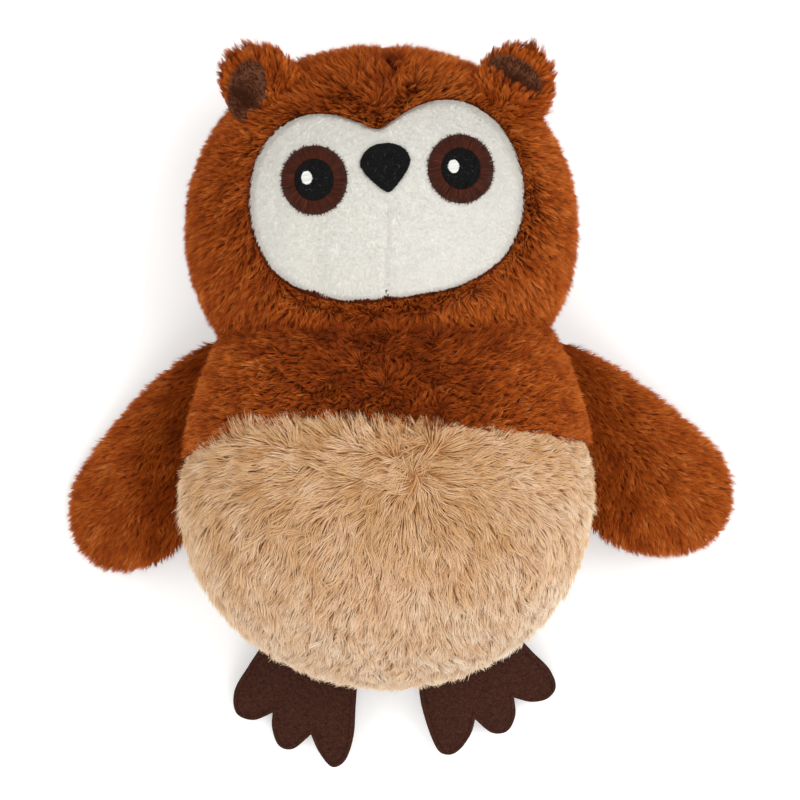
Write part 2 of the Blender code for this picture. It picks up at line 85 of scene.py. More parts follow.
def close_finish(tree, sockets):
    """The shader that ends a material's tree."""
    shader = add(tree, "ShaderNodeBsdfPrincipled", sockets)
    add(tree, "ShaderNodeOutputMaterial", {"Surface": shader.outputs["BSDF"]})


def patterned_finish(name, patterns, tones, relief, surface):
    """A finish whose first pattern over the object sets the colour, and whose last one raises the surface."""
    finish, tree = new_finish(name)
    spot = add(tree, "ShaderNodeTexCoord").outputs["Object"]
    drawn = [add(tree, kind, {"Vector": spot, **sockets}).outputs[out] for kind, out, sockets in patterns]
    shade = add(tree, "ShaderNodeValToRGB", {"Fac": drawn[0]}, stops=tones)
    strength, height = relief
    bump = add(tree, "ShaderNodeBump", {"Height": drawn[-1], "Strength": strength, "Distance": height})
    close_finish(tree, {"Base Color": shade.outputs["Color"], "Normal": bump.outputs["Normal"], **surface})
    return finish


# Polyester fill: white crimped fibre, matt, with the faint shadows between its wads, about 9 mm across.
wads = ("ShaderNodeTexNoise", "Fac", {"Scale": 110.0, "Detail": 6.0, "Roughness": 0.7})
polyester_fill = patterned_finish(
    "polyester_fill", [wads], ((0.3, "#cfcdc6"), (0.7, "#f2f1ec")), (0.8, 0.002), {"Roughness": 0.95}
)
for node in ("body_stuffing", "head_stuffing"):
    frame["nodes"][node].data.materials.clear()
    frame["nodes"][node].data.materials.append(polyester_fill)

# Backing of the body
# The knitted cloth that the pile is rooted in, cut as chest, belly and back panels and sewn over the stuffing.
# It lies a few millimetres inside the fur's outline, and shows only between the fibres, painted dark as their shade.
SIDES = ((-1, "left"), (1, "right"))
GAP = 0.00004
NECK_Y = 0.068
BODY_SIZES = (0.164, 0.060, 0.0525, 0.078, 0.108, (2.0, 2.0))
BODY_PLACE = (0, 0.002, 0.052)
BODY_SAG = 0.007
BODY_SEAM_Z = 0.029
BELLY_SEAM_Y = 0.031
BROWN_PILE_DEPTH = 0.0030
BEIGE_PILE_DEPTH = 0.0036
BACKING = 0.0006
FRONT_ROUNDNESS = 2.2
BACK_ROUNDNESS = 2.8


def stuffed_egg(segments, rings, width, front, back, lower, upper, fullness):
    """A closed egg along Y around the origin, with its own half-length and fullness below and above."""
    bm = bmesh.new()
    bmesh.ops.create_uvsphere(bm, u_segments=segments, v_segments=rings, radius=1)
    bmesh.ops.rotate(bm, verts=bm.verts, matrix=Matrix.Rotation(-math.pi / 2, 3, "X"))
    for vert in bm.verts:
        along = max(-1.0, min(1.0, vert.co.y))
        spread = math.hypot(vert.co.x, vert.co.z)
        power = fullness[along > 0]
        share = max(0.0, 1 - abs(along) ** power) ** (1 / power)
        side = vert.co.x / spread if spread > 0.0001 else 0.0
        rise = vert.co.z / spread if spread > 0.0001 else 0.0
        roundness = FRONT_ROUNDNESS if rise > 0 else BACK_ROUNDNESS
        depth = front if rise > 0 else back
        vert.co.x = math.copysign(abs(side) ** (2 / roundness), side) * share * width / 2
        vert.co.z = math.copysign(abs(rise) ** (2 / roundness), rise) * share * depth
        vert.co.y = along * (upper if along > 0 else lower)
    bm.normal_update()
    return bm


def draw_in(bm, depth):
    """Moves the whole surface inwards by depth."""
    for vert, normal in [(vert, vert.normal.copy()) for vert in bm.verts]:
        vert.co -= normal * depth


def settle(bm, lowest):
    """Presses flat what would lie below this height."""
    for vert in bm.verts:
        vert.co.z = max(vert.co.z, lowest)
    bm.normal_update()


def trim(bm, point, normal):
    """Cuts a panel along a plane and drops what lies on the side that the normal points to."""
    everything = bm.verts[:] + bm.edges[:] + bm.faces[:]
    bmesh.ops.bisect_plane(bm, geom=everything, plane_co=point, plane_no=normal, clear_outer=True)
    return bm


def body_cloth(depth):
    """The body's covering surface, this far inside the fur's outline."""
    bm = stuffed_egg(112, 80, *BODY_SIZES)
    for vert in bm.verts:
        vert.co.z -= BODY_SAG * max(0.0, -vert.co.y / BODY_SIZES[3]) ** 2
    bm.normal_update()
    draw_in(bm, depth)
    bmesh.ops.translate(bm, verts=bm.verts, vec=BODY_PLACE)
    settle(bm, depth)
    return trim(bm, (0, NECK_Y - GAP / 2, 0), (0, 1, 0))


def place(name, mesh, finish, body, slot):
    """Adds a mesh to the scene as a piece of one body."""
    mesh.materials.append(finish)
    piece = bpy.data.objects.new(name, mesh)
    bpy.context.scene.collection.objects.link(piece)
    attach(piece, body)
    return piece


def sew_on(name, bm, finish, body, slot, node, thickness=BACKING):
    """Gives a panel its cloth's thickness on the inside, and makes it the piece that stands for its node."""
    if thickness:
        bmesh.ops.solidify(bm, geom=bm.faces[:], thickness=thickness)
    mesh = bpy.data.meshes.new(name)
    bm.normal_update()
    bm.to_mesh(mesh)
    bm.free()
    mesh.shade_smooth()
    piece = place(name, mesh, finish, body, slot)
    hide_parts(node)
    return piece


def knit_backing(name, dark, light):
    """Knitted polyester ground of a fur cloth: matt, in fine ribs, drawn 1.2 mm wide so that they show."""
    blotches = ("ShaderNodeTexNoise", "Fac", {"Scale": 260.0, "Detail": 5.0})
    ribs = ("ShaderNodeTexVoronoi", "Distance", {"Scale": 800.0})
    surface = {"Roughness": 0.9, "Specular IOR Level": 0.05}
    return patterned_finish(name, (blotches, ribs), ((0.32, dark), (0.68, light)), (0.6, 0.0005), surface)


def step_up(low, high, values):
    """0 up to low, 1 from high on, and smooth between them."""
    share = np.clip((values - low) / (high - low), 0, 1)
    return share * share * (3 - 2 * share)


def seam_drop(x):
    """How far below its plane the belly's seam runs: most at the left end, and up a little beside its middle."""
    ends = 0.0135 * step_up(0.050, 0.080, -x) + 0.0050 * step_up(0.052, 0.082, x)
    return ends + 0.0035 * step_up(-0.010, 0.060, x) - 0.0025 * np.exp(-(((x + 0.022) / 0.020) ** 2))


def dip_seam(bm, tree):
    """Slides the cloth along the body to where the belly's seam runs."""
    for vert in bm.verts:
        x, y, z = vert.co
        drop = float(seam_drop(x)) * math.exp(-(((y - BELLY_SEAM_Y) / 0.018) ** 2))
        if abs(drop) > 1e-5:
            vert.co = tree.find_nearest((x, y - drop, z))[0]
    bm.normal_update()
    return bm


# Painted shade: the brown and beige backings are darker than their fibres, for the shadow deep in the pile.
brown_backing = knit_backing("brown_knit_backing", "#3a1505", "#5a240c")
beige_backing = knit_backing("beige_knit_backing", "#a06c3f", "#be8c58")

panels = []
for depth, side in ((BROWN_PILE_DEPTH, 1), (BEIGE_PILE_DEPTH, -1)):
    whole = trim(body_cloth(depth), (0, 0, BODY_SEAM_Z), (0, 0, -1))
    tree = BVHTree.FromBMesh(whole)
    panel = trim(whole.copy(), (0, BELLY_SEAM_Y + side * GAP / 2, 0), (0, -side, 0))
    panels.append(dip_seam(panel, tree))
    whole.free()
chest, belly = panels
back = trim(body_cloth(BROWN_PILE_DEPTH), (0, 0, BODY_SEAM_Z - GAP / 2), (0, 0, 1))

# Pile of the body
# Acrylic fibres locked into the knit: short and dense in brown on chest and back, long and wavy in beige on the
# belly, where they part in a whorl below the seam. Each one is a closed, tapered fibre, laid by its tuft.
MAP = "OFBake"
TONES = 64
LOWEST = 0.0002
DEGREE = math.pi / 180


def unit(ways):
    """The same ways, each one long."""
    return ways / np.maximum(np.linalg.norm(ways, axis=-1, keepdims=True), 1e-9)


def moved(points, matrix):
    """Points carried along by a matrix."""
    matrix = np.array(matrix)
    return points @ matrix[:3, :3].T + matrix[:3, 3]


def aimed(ways, matrix):
    """Ways turned by a matrix."""
    return ways @ np.array(matrix)[:3, :3].T


def draw_fibre(sides, profile):
    """One closed fibre, with the radius of each ring from root to tip, as arrays for laying many."""
    bm = bmesh.new()
    steps = len(profile) - 1
    bmesh.ops.create_cone(bm, cap_ends=True, segments=sides, radius1=1, radius2=1, depth=steps)
    bmesh.ops.translate(bm, verts=bm.verts, vec=(0, 0, steps / 2))
    for level in range(1, steps):
        everything = bm.verts[:] + bm.edges[:] + bm.faces[:]
        bmesh.ops.bisect_plane(bm, geom=everything, plane_co=(0, 0, level), plane_no=(0, 0, 1))
    for vert in bm.verts:
        ring = round(vert.co.z)
        vert.co = (vert.co.x * profile[ring], vert.co.y * profile[ring], ring)
    bmesh.ops.remove_doubles(bm, verts=bm.verts, dist=0.001)
    bmesh.ops.triangulate(bm, faces=bm.faces)
    bm.verts.index_update()
    rings = np.array([round(vert.co.z) for vert in bm.verts])
    offsets = np.array([vert.co.xy[:] for vert in bm.verts])
    corners = np.array([[vert.index for vert in face.verts] for face in bm.faces])
    bm.free()
    turns = np.arctan2(offsets[:, 1], offsets[:, 0]) / (2 * np.pi) % 1.0
    around = turns[corners]
    around = np.where(np.ptp(around, axis=1, keepdims=True) > 0.5, around + (around < 0.5), around)
    tips = np.linalg.norm(offsets[corners], axis=2) < 1e-6
    others = np.where(tips, 0, around).sum(axis=1) / np.maximum((~tips).sum(axis=1), 1)
    around = np.where(tips, others[:, None], around)
    leans = offsets[corners]
    leans = np.where(tips[..., None], leans.sum(axis=1, keepdims=True) / 2, leans)
    height = 0.03 + 0.94 * rings[corners] / steps
    ends = np.ptp(rings[corners], axis=1) == 0
    height[ends, 0] += np.where(rings[corners][ends, 0] == 0, -0.03, 0.03)
    return {
        "rings": rings, "offsets": offsets, "corners": corners, "leans": unit(leans), "around": around,
        "height": height,
    }


def lay_fibres(name, fibre, lines, across, out, width, shade, finish, body, slot, lean=1.25, flat=1.0):
    """One piece of many fibres: each follows its line, and reads its tone from its own column of the map."""
    count, rings = len(lines), fibre["rings"]
    offsets, leans = fibre["offsets"] * (1, flat), lean * fibre["leans"]
    radial = offsets[:, :1] * across[:, None, :] + offsets[:, 1:] * out[:, None, :]
    points = lines[:, rings] + radial * (np.broadcast_to(width, (count,)) / 2)[:, None, None]
    points[..., 2] = np.maximum(points[..., 2], LOWEST)
    normals = leans[..., :1] * across[:, None, None, :] + (1 + leans[..., 1:]) * out[:, None, None, :]
    corners = (fibre["corners"][None] + (np.arange(count) * len(rings))[:, None, None]).reshape(-1)
    column = np.clip((shade * TONES).astype(int), 0, TONES - 1)[:, None, None]
    spots = np.empty((count, *fibre["around"].shape, 2))
    spots[..., 0] = (column + 0.2 + 0.6 * np.minimum(fibre["around"], 1.0)) / TONES
    spots[..., 1] = fibre["height"]
    mesh = bpy.data.meshes.new(name)
    mesh.vertices.add(count * len(rings))
    mesh.vertices.foreach_set("co", points.astype(np.float32).ravel())
    mesh.loops.add(len(corners))
    mesh.loops.foreach_set("vertex_index", corners.astype(np.int32))
    mesh.polygons.add(len(corners) // 3)
    mesh.polygons.foreach_set("loop_start", np.arange(0, len(corners), 3, dtype=np.int32))
    mesh.update(calc_edges=True)
    mesh.uv_layers.new(name=MAP).data.foreach_set("uv", spots.astype(np.float32).ravel())
    mesh.shade_smooth()
    mesh.normals_split_custom_set(unit(normals).reshape(-1, 3).astype(np.float32))
    place(name, mesh, finish, body, slot)


def wander(points, span, seed):
    """A smooth seeded swell between about -1 and 1, with waves about span long."""
    rng = np.random.default_rng(seed)
    waves = rng.normal(size=(6, 3))
    waves *= 2 * np.pi / span / np.linalg.norm(waves, axis=1, keepdims=True)
    waves *= rng.uniform(0.7, 1.5, (6, 1))
    return np.sin(points @ waves.T + rng.uniform(0, 2 * np.pi, 6)).sum(axis=1) / 2.6


def take_roots(cloth, per_mm2, rng):
    """Seeded random points all over a cloth, with its smooth normals there."""
    loose = cloth.copy()
    bmesh.ops.triangulate(loose, faces=loose.faces)
    loose.normal_update()
    loose.verts.index_update()
    spots = np.array([vert.co[:] for vert in loose.verts])
    normals = np.array([vert.normal[:] for vert in loose.verts])
    corners = np.array([[vert.index for vert in face.verts] for face in loose.faces])
    areas = np.array([face.calc_area() for face in loose.faces])
    loose.free()
    # A cut leaves its faces in an order of its own each run, so they are sorted by place before any is drawn.
    order = np.lexsort(np.round(spots, 6).T)
    corners = np.sort(np.argsort(order)[corners], axis=1)
    by_place = np.lexsort(corners.T)
    spots, normals, corners, areas = spots[order], normals[order], corners[by_place], areas[by_place]
    count = int(areas.sum() * 1e6 * per_mm2)
    chosen = corners[rng.choice(len(corners), count, p=areas / areas.sum())]
    shares = rng.dirichlet((1, 1, 1), count)[:, :, None]
    found = (normals[chosen] * shares).sum(axis=1)
    return (spots[chosen] * shares).sum(axis=1), unit(found)


def finder(points):
    """A tool that finds the nearest of these points."""
    near = KDTree(len(points))
    for at, point in enumerate(points):
        near.insert(point, at)
    near.balance()
    return near


def gather_tufts(roots, spacing, per_mm2, rng):
    """The tuft that each fibre belongs to, which is that of the nearest of some fibres picked as leaders."""
    count = max(1, int(len(roots) / (per_mm2 * (spacing * 1000) ** 2)))
    near = finder(roots[rng.choice(len(roots), count, replace=False)])
    return np.array([near.find(root)[1] for root in roots]), count


short_fibre = draw_fibre(3, (1, 0))
wavy_fibre = draw_fibre(3, (0.9, 0.85, 0))


def lay_pile(
    name, body, cloth, finish, slot, per_mm2, length, width, comb, tone, seed, keep=None, fibre=short_fibre,
    tuft=0.0024, stray=0.35, lifts=(52, 24), unrest=1.0, wave=0.1, draw=0.5, mottle=0.10, speck=0.13, lean=1.25,
    flat=1.0,
):
    """The pile of one panel. comb gives the way that it is brushed, tone its shade from 0, dark, to 1, light.

    A tuft's size, how far it strays from the comb, its lift in degrees at root and tip, its wave and how far its tips
    draw together shape it; mottle and speck are the differences of shade from tuft to tuft and fibre to fibre.
    """
    rng = np.random.default_rng(seed)
    roots, normals = take_roots(cloth, per_mm2, rng)
    if keep:
        kept = keep(roots)
        roots, normals = roots[kept], normals[kept]
    count = len(roots)
    flow = comb(roots, normals)
    flow = unit(flow - normals * (flow * normals).sum(axis=1, keepdims=True))
    side = np.cross(normals, flow)
    tuft, tufts = gather_tufts(roots, tuft, per_mm2, rng)
    stray = stray(roots) if callable(stray) else stray
    swerve = stray * rng.normal(0, 1, tufts)[tuft] + rng.normal(0, 0.16, count)
    heading = flow * np.cos(swerve)[:, None] + side * np.sin(swerve)[:, None]
    across = np.cross(heading, normals)
    first = DEGREE * (lifts[0] + unrest * (rng.normal(0, 7, tufts)[tuft] + rng.normal(0, 5, count)))
    last = DEGREE * (lifts[1] + unrest * (rng.normal(0, 9, tufts)[tuft] + rng.normal(0, 5, count)))
    start = heading * np.cos(first)[:, None] + normals * np.sin(first)[:, None]
    end = heading * np.cos(last)[:, None] + normals * np.sin(last)[:, None]
    bend = rng.normal(0, wave, tufts)[tuft]
    end += across * bend[:, None]
    reach = length(roots, normals) if callable(length) else np.full(count, length)
    reach = reach * (1 + rng.normal(0, 0.14, tufts)[tuft] + rng.normal(0, 0.12, count))
    reach = np.clip(reach, 0.0005, None)[:, None]
    tips = roots + reach * (start + end) / 2
    centres = np.stack([np.bincount(tuft, tips[:, axis], tufts) for axis in range(3)], axis=1)
    centres /= np.maximum(np.bincount(tuft, minlength=tufts), 1)[:, None]
    drawn = draw * (centres[tuft] - tips)
    steps = fibre["rings"].max()
    lines = np.empty((count, steps + 1, 3))
    for ring in range(steps + 1):
        at = ring / steps
        lines[:, ring] = roots + reach * (at * start + at * at / 2 * (end - start)) + at * at * drawn
    middle = unit(lines[:, -1] - roots)
    across = unit(np.cross(normals, middle))
    out = unit(0.55 * normals + 0.45 * np.cross(middle, across))
    shade = tone(roots, normals) + rng.normal(0, mottle, tufts)[tuft]
    shade = np.clip(shade + rng.normal(0, speck, count), 0.0, 0.999)
    thick = width * (1 + rng.normal(0, 0.12, count))
    lay_fibres(name, fibre, lines, across, out, thick, shade, finish, body, slot, lean, flat)


def fibre_finish(name, tones, rough, gloss=0.08, root=None):
    """A fibre's finish: its tone comes from its column of the map, and turns into the root's, a painted shade, where
    one is given.
    """
    finish, tree = new_finish(name)
    spot = add(tree, "ShaderNodeUVMap", uv_map=MAP).outputs["UV"]
    split = add(tree, "ShaderNodeSeparateXYZ", {"Vector": spot})
    colour = add(tree, "ShaderNodeValToRGB", {"Fac": split.outputs["X"]}, stops=tones).outputs["Color"]
    # Painted shade: towards its root each fibre turns into the darker root colour, as if shaded by the pile above it.
    if root:
        depth = add(tree, "ShaderNodeMapRange", {"Value": split.outputs["Y"], "From Max": 0.8})
        sockets = {"Factor": depth.outputs["Result"], "A": linear(root), "B": colour}
        colour = add(tree, "ShaderNodeMix", sockets, data_type="RGBA").outputs["Result"]
    close_finish(tree, {"Base Color": colour, "Roughness": rough, "Specular IOR Level": gloss})
    return finish


# Acrylic fibre, dyed before it is cut: soft and nearly matt, paler at the tips and painted darker towards the roots as
# shade.
brown_dyes = ((0.0, "#702b08"), (1.0, "#f09a54"), (0.35, "#a84912"), (0.6, "#c66018"), (0.82, "#de7b2e"))
beige_dyes = ((0.0, "#bf8c58"), (1.0, "#faf3e4"), (0.3, "#e1b988"), (0.55, "#efcfab"), (0.8, "#f7e3c9"))
brown_pile = fibre_finish("brown_acrylic_pile", brown_dyes, 0.6, root="#74300a")
beige_pile = fibre_finish("beige_acrylic_pile", beige_dyes, 0.6, root="#c68f5c")


def comb_chest(roots, normals):
    """Outwards to both sides and a little down, unsettled in the middle."""
    x, y = roots[:, 0], roots[:, 1]
    side = np.tanh(x / 0.02)
    way = np.stack([side * 0.9, np.where(x > 0, 0.35, -0.45) * np.abs(side) - 0.25, -0.3 * np.abs(side)], 1)
    loose = 1.3 * (1 - np.abs(side)) + 0.40
    way[:, 0] += loose * wander(roots, 0.016, 3)
    way[:, 1] += loose * wander(roots, 0.016, 4)
    return way


def tone_chest(roots, normals):
    """Darker in the middle, and darker close to the neck as painted shade where the head meets the body."""
    neck_shade = 1 - step_up(0.000, 0.012, NECK_Y - roots[:, 1])
    middle = 1 - step_up(0.015, 0.06, np.abs(roots[:, 0]))
    return 0.52 - 0.22 * middle - 0.14 * neck_shade + 0.12 * wander(roots, 0.012, 5)


def comb_back(roots, normals):
    """Down the back, and a little outwards."""
    way = np.stack([0.6 * roots[:, 0] / 0.08, np.full(len(roots), -1.0), np.full(len(roots), -0.3)], 1)
    way[:, 0] += 0.3 * wander(roots, 0.03, 6)
    return way


def tone_back(roots, normals):
    """Even, with broad soft patches."""
    return 0.48 + 0.12 * wander(roots, 0.02, 7)


WHORL = (0.0094, 0.0195)
TANGLE_Y = 0.015


def comb_belly(roots, normals):
    """Up over the seam above the whorl, out to both sides beside it, and down below it."""
    x, y = roots[:, 0] - WHORL[0], roots[:, 1] - WHORL[1] - 0.002 * wander(roots, 0.02, 12)
    way = np.zeros_like(roots)
    way[:, 0] = np.tanh(x / 0.012) * (0.45 + 1.15 * np.exp(-(((y + 0.006) / 0.012) ** 2)))
    to_right = 1 - 0.75 * step_up(0.008, 0.040, x)
    way[:, 1] = np.where(y > 0, to_right * np.tanh(y / 0.005), -1.3 * step_up(0.0, 0.034, -y))
    way[:, 2] = -0.5 * (1 - normals[:, 2])
    close = 1 - step_up(0.002, 0.020, np.hypot(x, y))
    way[:, 0] += (0.34 + 0.3 * close) * wander(roots, 0.015, 8)
    way[:, 1] += (0.26 + 0.3 * close) * wander(roots, 0.015, 9)
    return way


def stray_belly(roots):
    """How far its tufts lie across each other, most just below the whorl's middle."""
    return 0.22 + 1.0 * np.exp(-((np.hypot(roots[:, 0] - WHORL[0], roots[:, 1] - TANGLE_Y) / 0.008) ** 2))


def tone_belly(roots, normals):
    """Palest low down and paler at both sides, the right one most; low down and at the right this is painted light."""
    low = step_up(-0.01, 0.07, -roots[:, 1])
    right = step_up(0.02, 0.070, roots[:, 0])
    left = step_up(0.058, 0.078, -roots[:, 0])
    return 0.36 + 0.34 * low + 0.16 * right + 0.10 * left + 0.08 * wander(roots, 0.022, 10)


def belly_reach(roots, normals):
    """Long in the middle, shorter below and at the right, and shortest along the seam."""
    side = step_up(0.02, 0.07, roots[:, 0])
    low = step_up(0.02, 0.07, -roots[:, 1])
    near_seam = 1 - step_up(0.000, 0.007, BELLY_SEAM_Y - seam_drop(roots[:, 0]) - roots[:, 1])
    reach = 0.0092 - 0.0024 * np.maximum(side, low) + 0.0006 * wander(roots, 0.03, 11)
    return reach * (1 - 0.52 * near_seam)


DENSE = {"stray": 0.6, "draw": 0.3, "tuft": 0.0013, "mottle": 0.08, "speck": 0.18}
BACK_PILE = (0.0058, 0.00066)
FINE = 0.00034
lay_pile(
    "chest_pile", "owl_body", chest, brown_pile, "brown_fur", 4.6, 0.0046, FINE, comb_chest, tone_chest, 11,
    lifts=(67, 42), **DENSE,
)
lay_pile("body_back_pile", "owl_body", back, brown_pile, "brown_fur", 0.98, *BACK_PILE, comb_back, tone_back, 12)

# The belly's pile is laid in four parts, the part with the whorl ruffled more than the others.
WHORL_LOW = 0.004
BELLY_SPLIT = 0.022
belly_parts = {
    "belly_upper_pile": lambda x, y: y > WHORL_LOW,
    "belly_left_pile": lambda x, y: (y <= WHORL_LOW) & (x < -BELLY_SPLIT),
    "belly_middle_pile": lambda x, y: (y <= WHORL_LOW) & (np.abs(x) <= BELLY_SPLIT),
    "belly_right_pile": lambda x, y: (y <= WHORL_LOW) & (x > BELLY_SPLIT),
}
for seed, (name, within) in enumerate(belly_parts.items()):
    wave, draw, mottle = (0.25, 0.20, 0.05) if seed else (0.35, 0.34, 0.09)
    lay_pile(
        name, "owl_body", belly, beige_pile, "beige_fur", 2.15, belly_reach, 0.00040, comb_belly, tone_belly,
        20 + seed, keep=lambda roots: within(roots[:, 0], roots[:, 1]), fibre=wavy_fibre, tuft=0.0025,
        stray=stray_belly, wave=wave, draw=draw, lifts=(44, 4), mottle=mottle, speck=0.09,
    )
sew_on("chest_cloth", chest, brown_backing, "owl_body", "brown_fur", "chest_panel")
sew_on("belly_cloth", belly, beige_backing, "owl_body", "beige_fur", "belly_panel")
sew_on("body_back_cloth", back, brown_backing, "owl_body", "brown_fur", "body_back_panel")

# Head
# The brown cover of the head: two front halves that meet in the crown seam, and a back panel sewn on behind them.
# Short dense pile is brushed from the crown down both cheeks, and hangs a little way in over the pale face.
HEAD_SIZES = (0.155, 0.057, 0.0505, 0.070, 0.0735, (2.1, 2.1))
HEAD_PLACE = (-0.0025, 0.107, 0.050)
HEAD_SEAM_X = -0.0012
HEAD_SEAM_Z = 0.046
FACE_WIDTH = 0.107
FACE_HEIGHT = 0.0750
FACE_MIDDLE = (-0.0002, 0.1158)
FACE_ROLL = 6.5 * DEGREE
FACE_LOWEST = 0.056
FACE_SEAM_ALLOWANCE = 0.003
FACE_OUTLINE_SHARES = (
    (0.00, 0.78), (0.12, 0.86), (0.30, 0.98), (0.50, 1.02), (0.70, 0.93), (0.87, 0.70), (0.97, 0.38),
    (1.00, 0.02), (0.95, -0.36), (0.82, -0.66), (0.60, -0.87), (0.32, -0.98), (0.00, -1.00),
)


def head_cloth(depth):
    """The head's covering surface, this far inside the fur's outline."""
    bm = stuffed_egg(120, 84, *HEAD_SIZES)
    draw_in(bm, depth)
    bmesh.ops.translate(bm, verts=bm.verts, vec=HEAD_PLACE)
    settle(bm, depth)
    return trim(bm, (0, NECK_Y + GAP / 2, 0), (0, -1, 0))


def curve(p0, p1, p2, p3, t):
    """The smooth curve from p1 to p2 of four marks, at t from 0 to 1."""
    return p1 + t / 2 * (p2 - p0 + t * (2 * p0 - 5 * p1 + 4 * p2 - p3 + t * (3 * p1 - p0 - 3 * p2 + p3)))


def rounded_outline(shares, middle, width, height, roll, count):
    """A smooth closed outline through the shares of its right half and their mirror image, anticlockwise."""
    half = np.array(shares)
    points = np.concatenate([half, half[-2:0:-1] * (-1, 1)])[::-1] * (width / 2, height / 2)
    at = np.arange(count) / count * len(points)
    first = at.astype(int)
    marks = [points[(first + shift) % len(points)] for shift in (-1, 0, 1, 2)]
    turned = np.array([[math.cos(roll), math.sin(roll)], [-math.sin(roll), math.cos(roll)]])
    return curve(*marks, (at - first)[:, None]) @ turned + middle


def inside(outline, points):
    """Which points lie inside a closed outline."""
    found = np.zeros(len(points), bool)
    for (x1, y1), (x2, y2) in zip(outline, np.roll(outline, -1, axis=0)):
        crosses = (points[:, 1] < y1) != (points[:, 1] < y2)
        found ^= crosses & (points[:, 0] < (x2 - x1) * (points[:, 1] - y1) / (y2 - y1 + 1e-12) + x1)
    return found


face_edge = rounded_outline(FACE_OUTLINE_SHARES, FACE_MIDDLE, FACE_WIDTH, FACE_HEIGHT, FACE_ROLL, 288)
face_hem = finder([(x, y, 0) for x, y in face_edge])


def way_to_face(roots):
    """How far each root is from the face cloth's edge, as seen from the front, and the way there."""
    nearest = np.array([face_hem.find((x, y, 0))[0][:2] for x, y, z in roots])
    way = nearest - roots[:, :2]
    far = np.linalg.norm(way, axis=1)
    return far, way / np.maximum(far, 1e-6)[:, None]


def off_face(roots):
    """The roots that aren't under the face cloth."""
    return ~(inside(face_edge, roots[:, :2]) & (roots[:, 2] > FACE_LOWEST))


def comb_head(roots, normals):
    """From the crown out to both sides, down the cheeks, and in over the edge of the face."""
    x, y = roots[:, 0] - HEAD_SEAM_X, roots[:, 1]
    side = np.tanh((x - 0.0028) / 0.012)
    high = step_up(0.100, 0.168, y)
    way = np.stack([side * (0.22 + 0.85 * high), -1.0 + 1.05 * high, -0.45 * (1 - normals[:, 2])], 1)
    loose = 0.35 + 0.5 * high * np.exp(-((x / 0.03) ** 2))
    way[:, 0] += loose * wander(roots, 0.017, 31)
    way[:, 1] += loose * wander(roots, 0.017, 32)
    far, inwards = way_to_face(roots)
    top = step_up(0.128, 0.140, y) * (1 - step_up(0.012, 0.040, np.abs(x - 0.004)))
    chin = (1 - step_up(0.084, 0.094, y)) * (1 - step_up(0.030, 0.050, np.abs(x)))
    right = step_up(0.02, 0.045, x) * step_up(0.085, 0.10, y)
    near = np.exp(-((far / 0.0055) ** 2)) * (normals[:, 2] > 0.3)
    pull = near * (0.5 + 2.4 * top + 2.0 * chin + 1.1 * right)
    way[:, :2] += pull[:, None] * inwards
    return way


def crown_fold(roots):
    """1 along the crown's seam, where it pulls the cloth in, and 0 away from it."""
    return np.exp(-(((roots[:, 0] - HEAD_SEAM_X) / 0.0035) ** 2)) * step_up(0.140, 0.165, roots[:, 1])


def tone_head(roots, normals):
    """Paler at the right as painted light, and darker close to the neck and in the crown's seam as painted shade."""
    x, y = roots[:, 0], roots[:, 1]
    neck_shade = 1 - step_up(0.000, 0.012, y - NECK_Y)
    fold = crown_fold(roots)
    return 0.52 + 0.06 * np.tanh(x / 0.03) - 0.12 * neck_shade - 0.16 * fold + 0.11 * wander(roots, 0.013, 33)


def reach_head(roots, normals):
    """Longer on the cheeks, whose tufts break the outline, and shorter round the face."""
    far, inwards = way_to_face(roots)
    close = np.exp(-((far / 0.003) ** 2)) * (normals[:, 2] > 0.3)
    peak = step_up(0.128, 0.140, roots[:, 1]) * (1 - step_up(0.012, 0.030, np.abs(roots[:, 0])))
    return 0.0048 - (0.0008 - 0.0014 * peak) * close - 0.0016 * crown_fold(roots)


head_left = trim(head_cloth(BROWN_PILE_DEPTH), (0, 0, HEAD_SEAM_Z + GAP / 2), (0, 0, -1))
head_right = head_left.copy()
trim(head_left, (HEAD_SEAM_X - GAP / 2, 0, 0), (1, 0, 0))
trim(head_right, (HEAD_SEAM_X + GAP / 2, 0, 0), (-1, 0, 0))
head_back = trim(head_cloth(BROWN_PILE_DEPTH), (0, 0, HEAD_SEAM_Z - GAP / 2), (0, 0, 1))
for seed, (name, cloth) in enumerate((("left", head_left), ("right", head_right))):
    lay_pile(
        f"head_{name}_pile", "owl_body", cloth, brown_pile, "brown_fur", 5.0, reach_head, FINE, comb_head,
        tone_head, 40 + seed, keep=off_face, lifts=(66, 40), **DENSE,
    )
    middles = np.array([face.calc_center_median()[:] for face in cloth.faces])
    under_face = ~off_face(middles) & (way_to_face(middles)[0] > FACE_SEAM_ALLOWANCE)
    bmesh.ops.delete(cloth, geom=[face for face, out in zip(cloth.faces[:], under_face) if out], context="FACES")
    sew_on(f"head_{name}_cloth", cloth, brown_backing, "owl_body", "brown_fur", f"head_cover_{name}")
lay_pile("head_back_pile", "owl_body", head_back, brown_pile, "brown_fur", 1.05, *BACK_PILE, comb_back, tone_back, 43)
sew_on("head_back_cloth", head_back, brown_backing, "owl_body", "brown_fur", "head_back_panel")

# Face
# Smooth white plush in two halves, sewn together from the beak to the chin and stitched in under the brown fur.
# Its pile is cropped to about a millimetre, so it reads as soft, finely mottled cloth with a few shallow creases.
FACE_DEPTH = 0.0019
FACE_SEAM_X = FACE_MIDDLE[0]
FACE_PUCKER_Y = 0.1152
FACE_CREASES = ((-0.0274, 0.0009, 0.0050), (-0.0092, 0.0006, 0.0035), (0.0150, 0.0005, 0.0060))


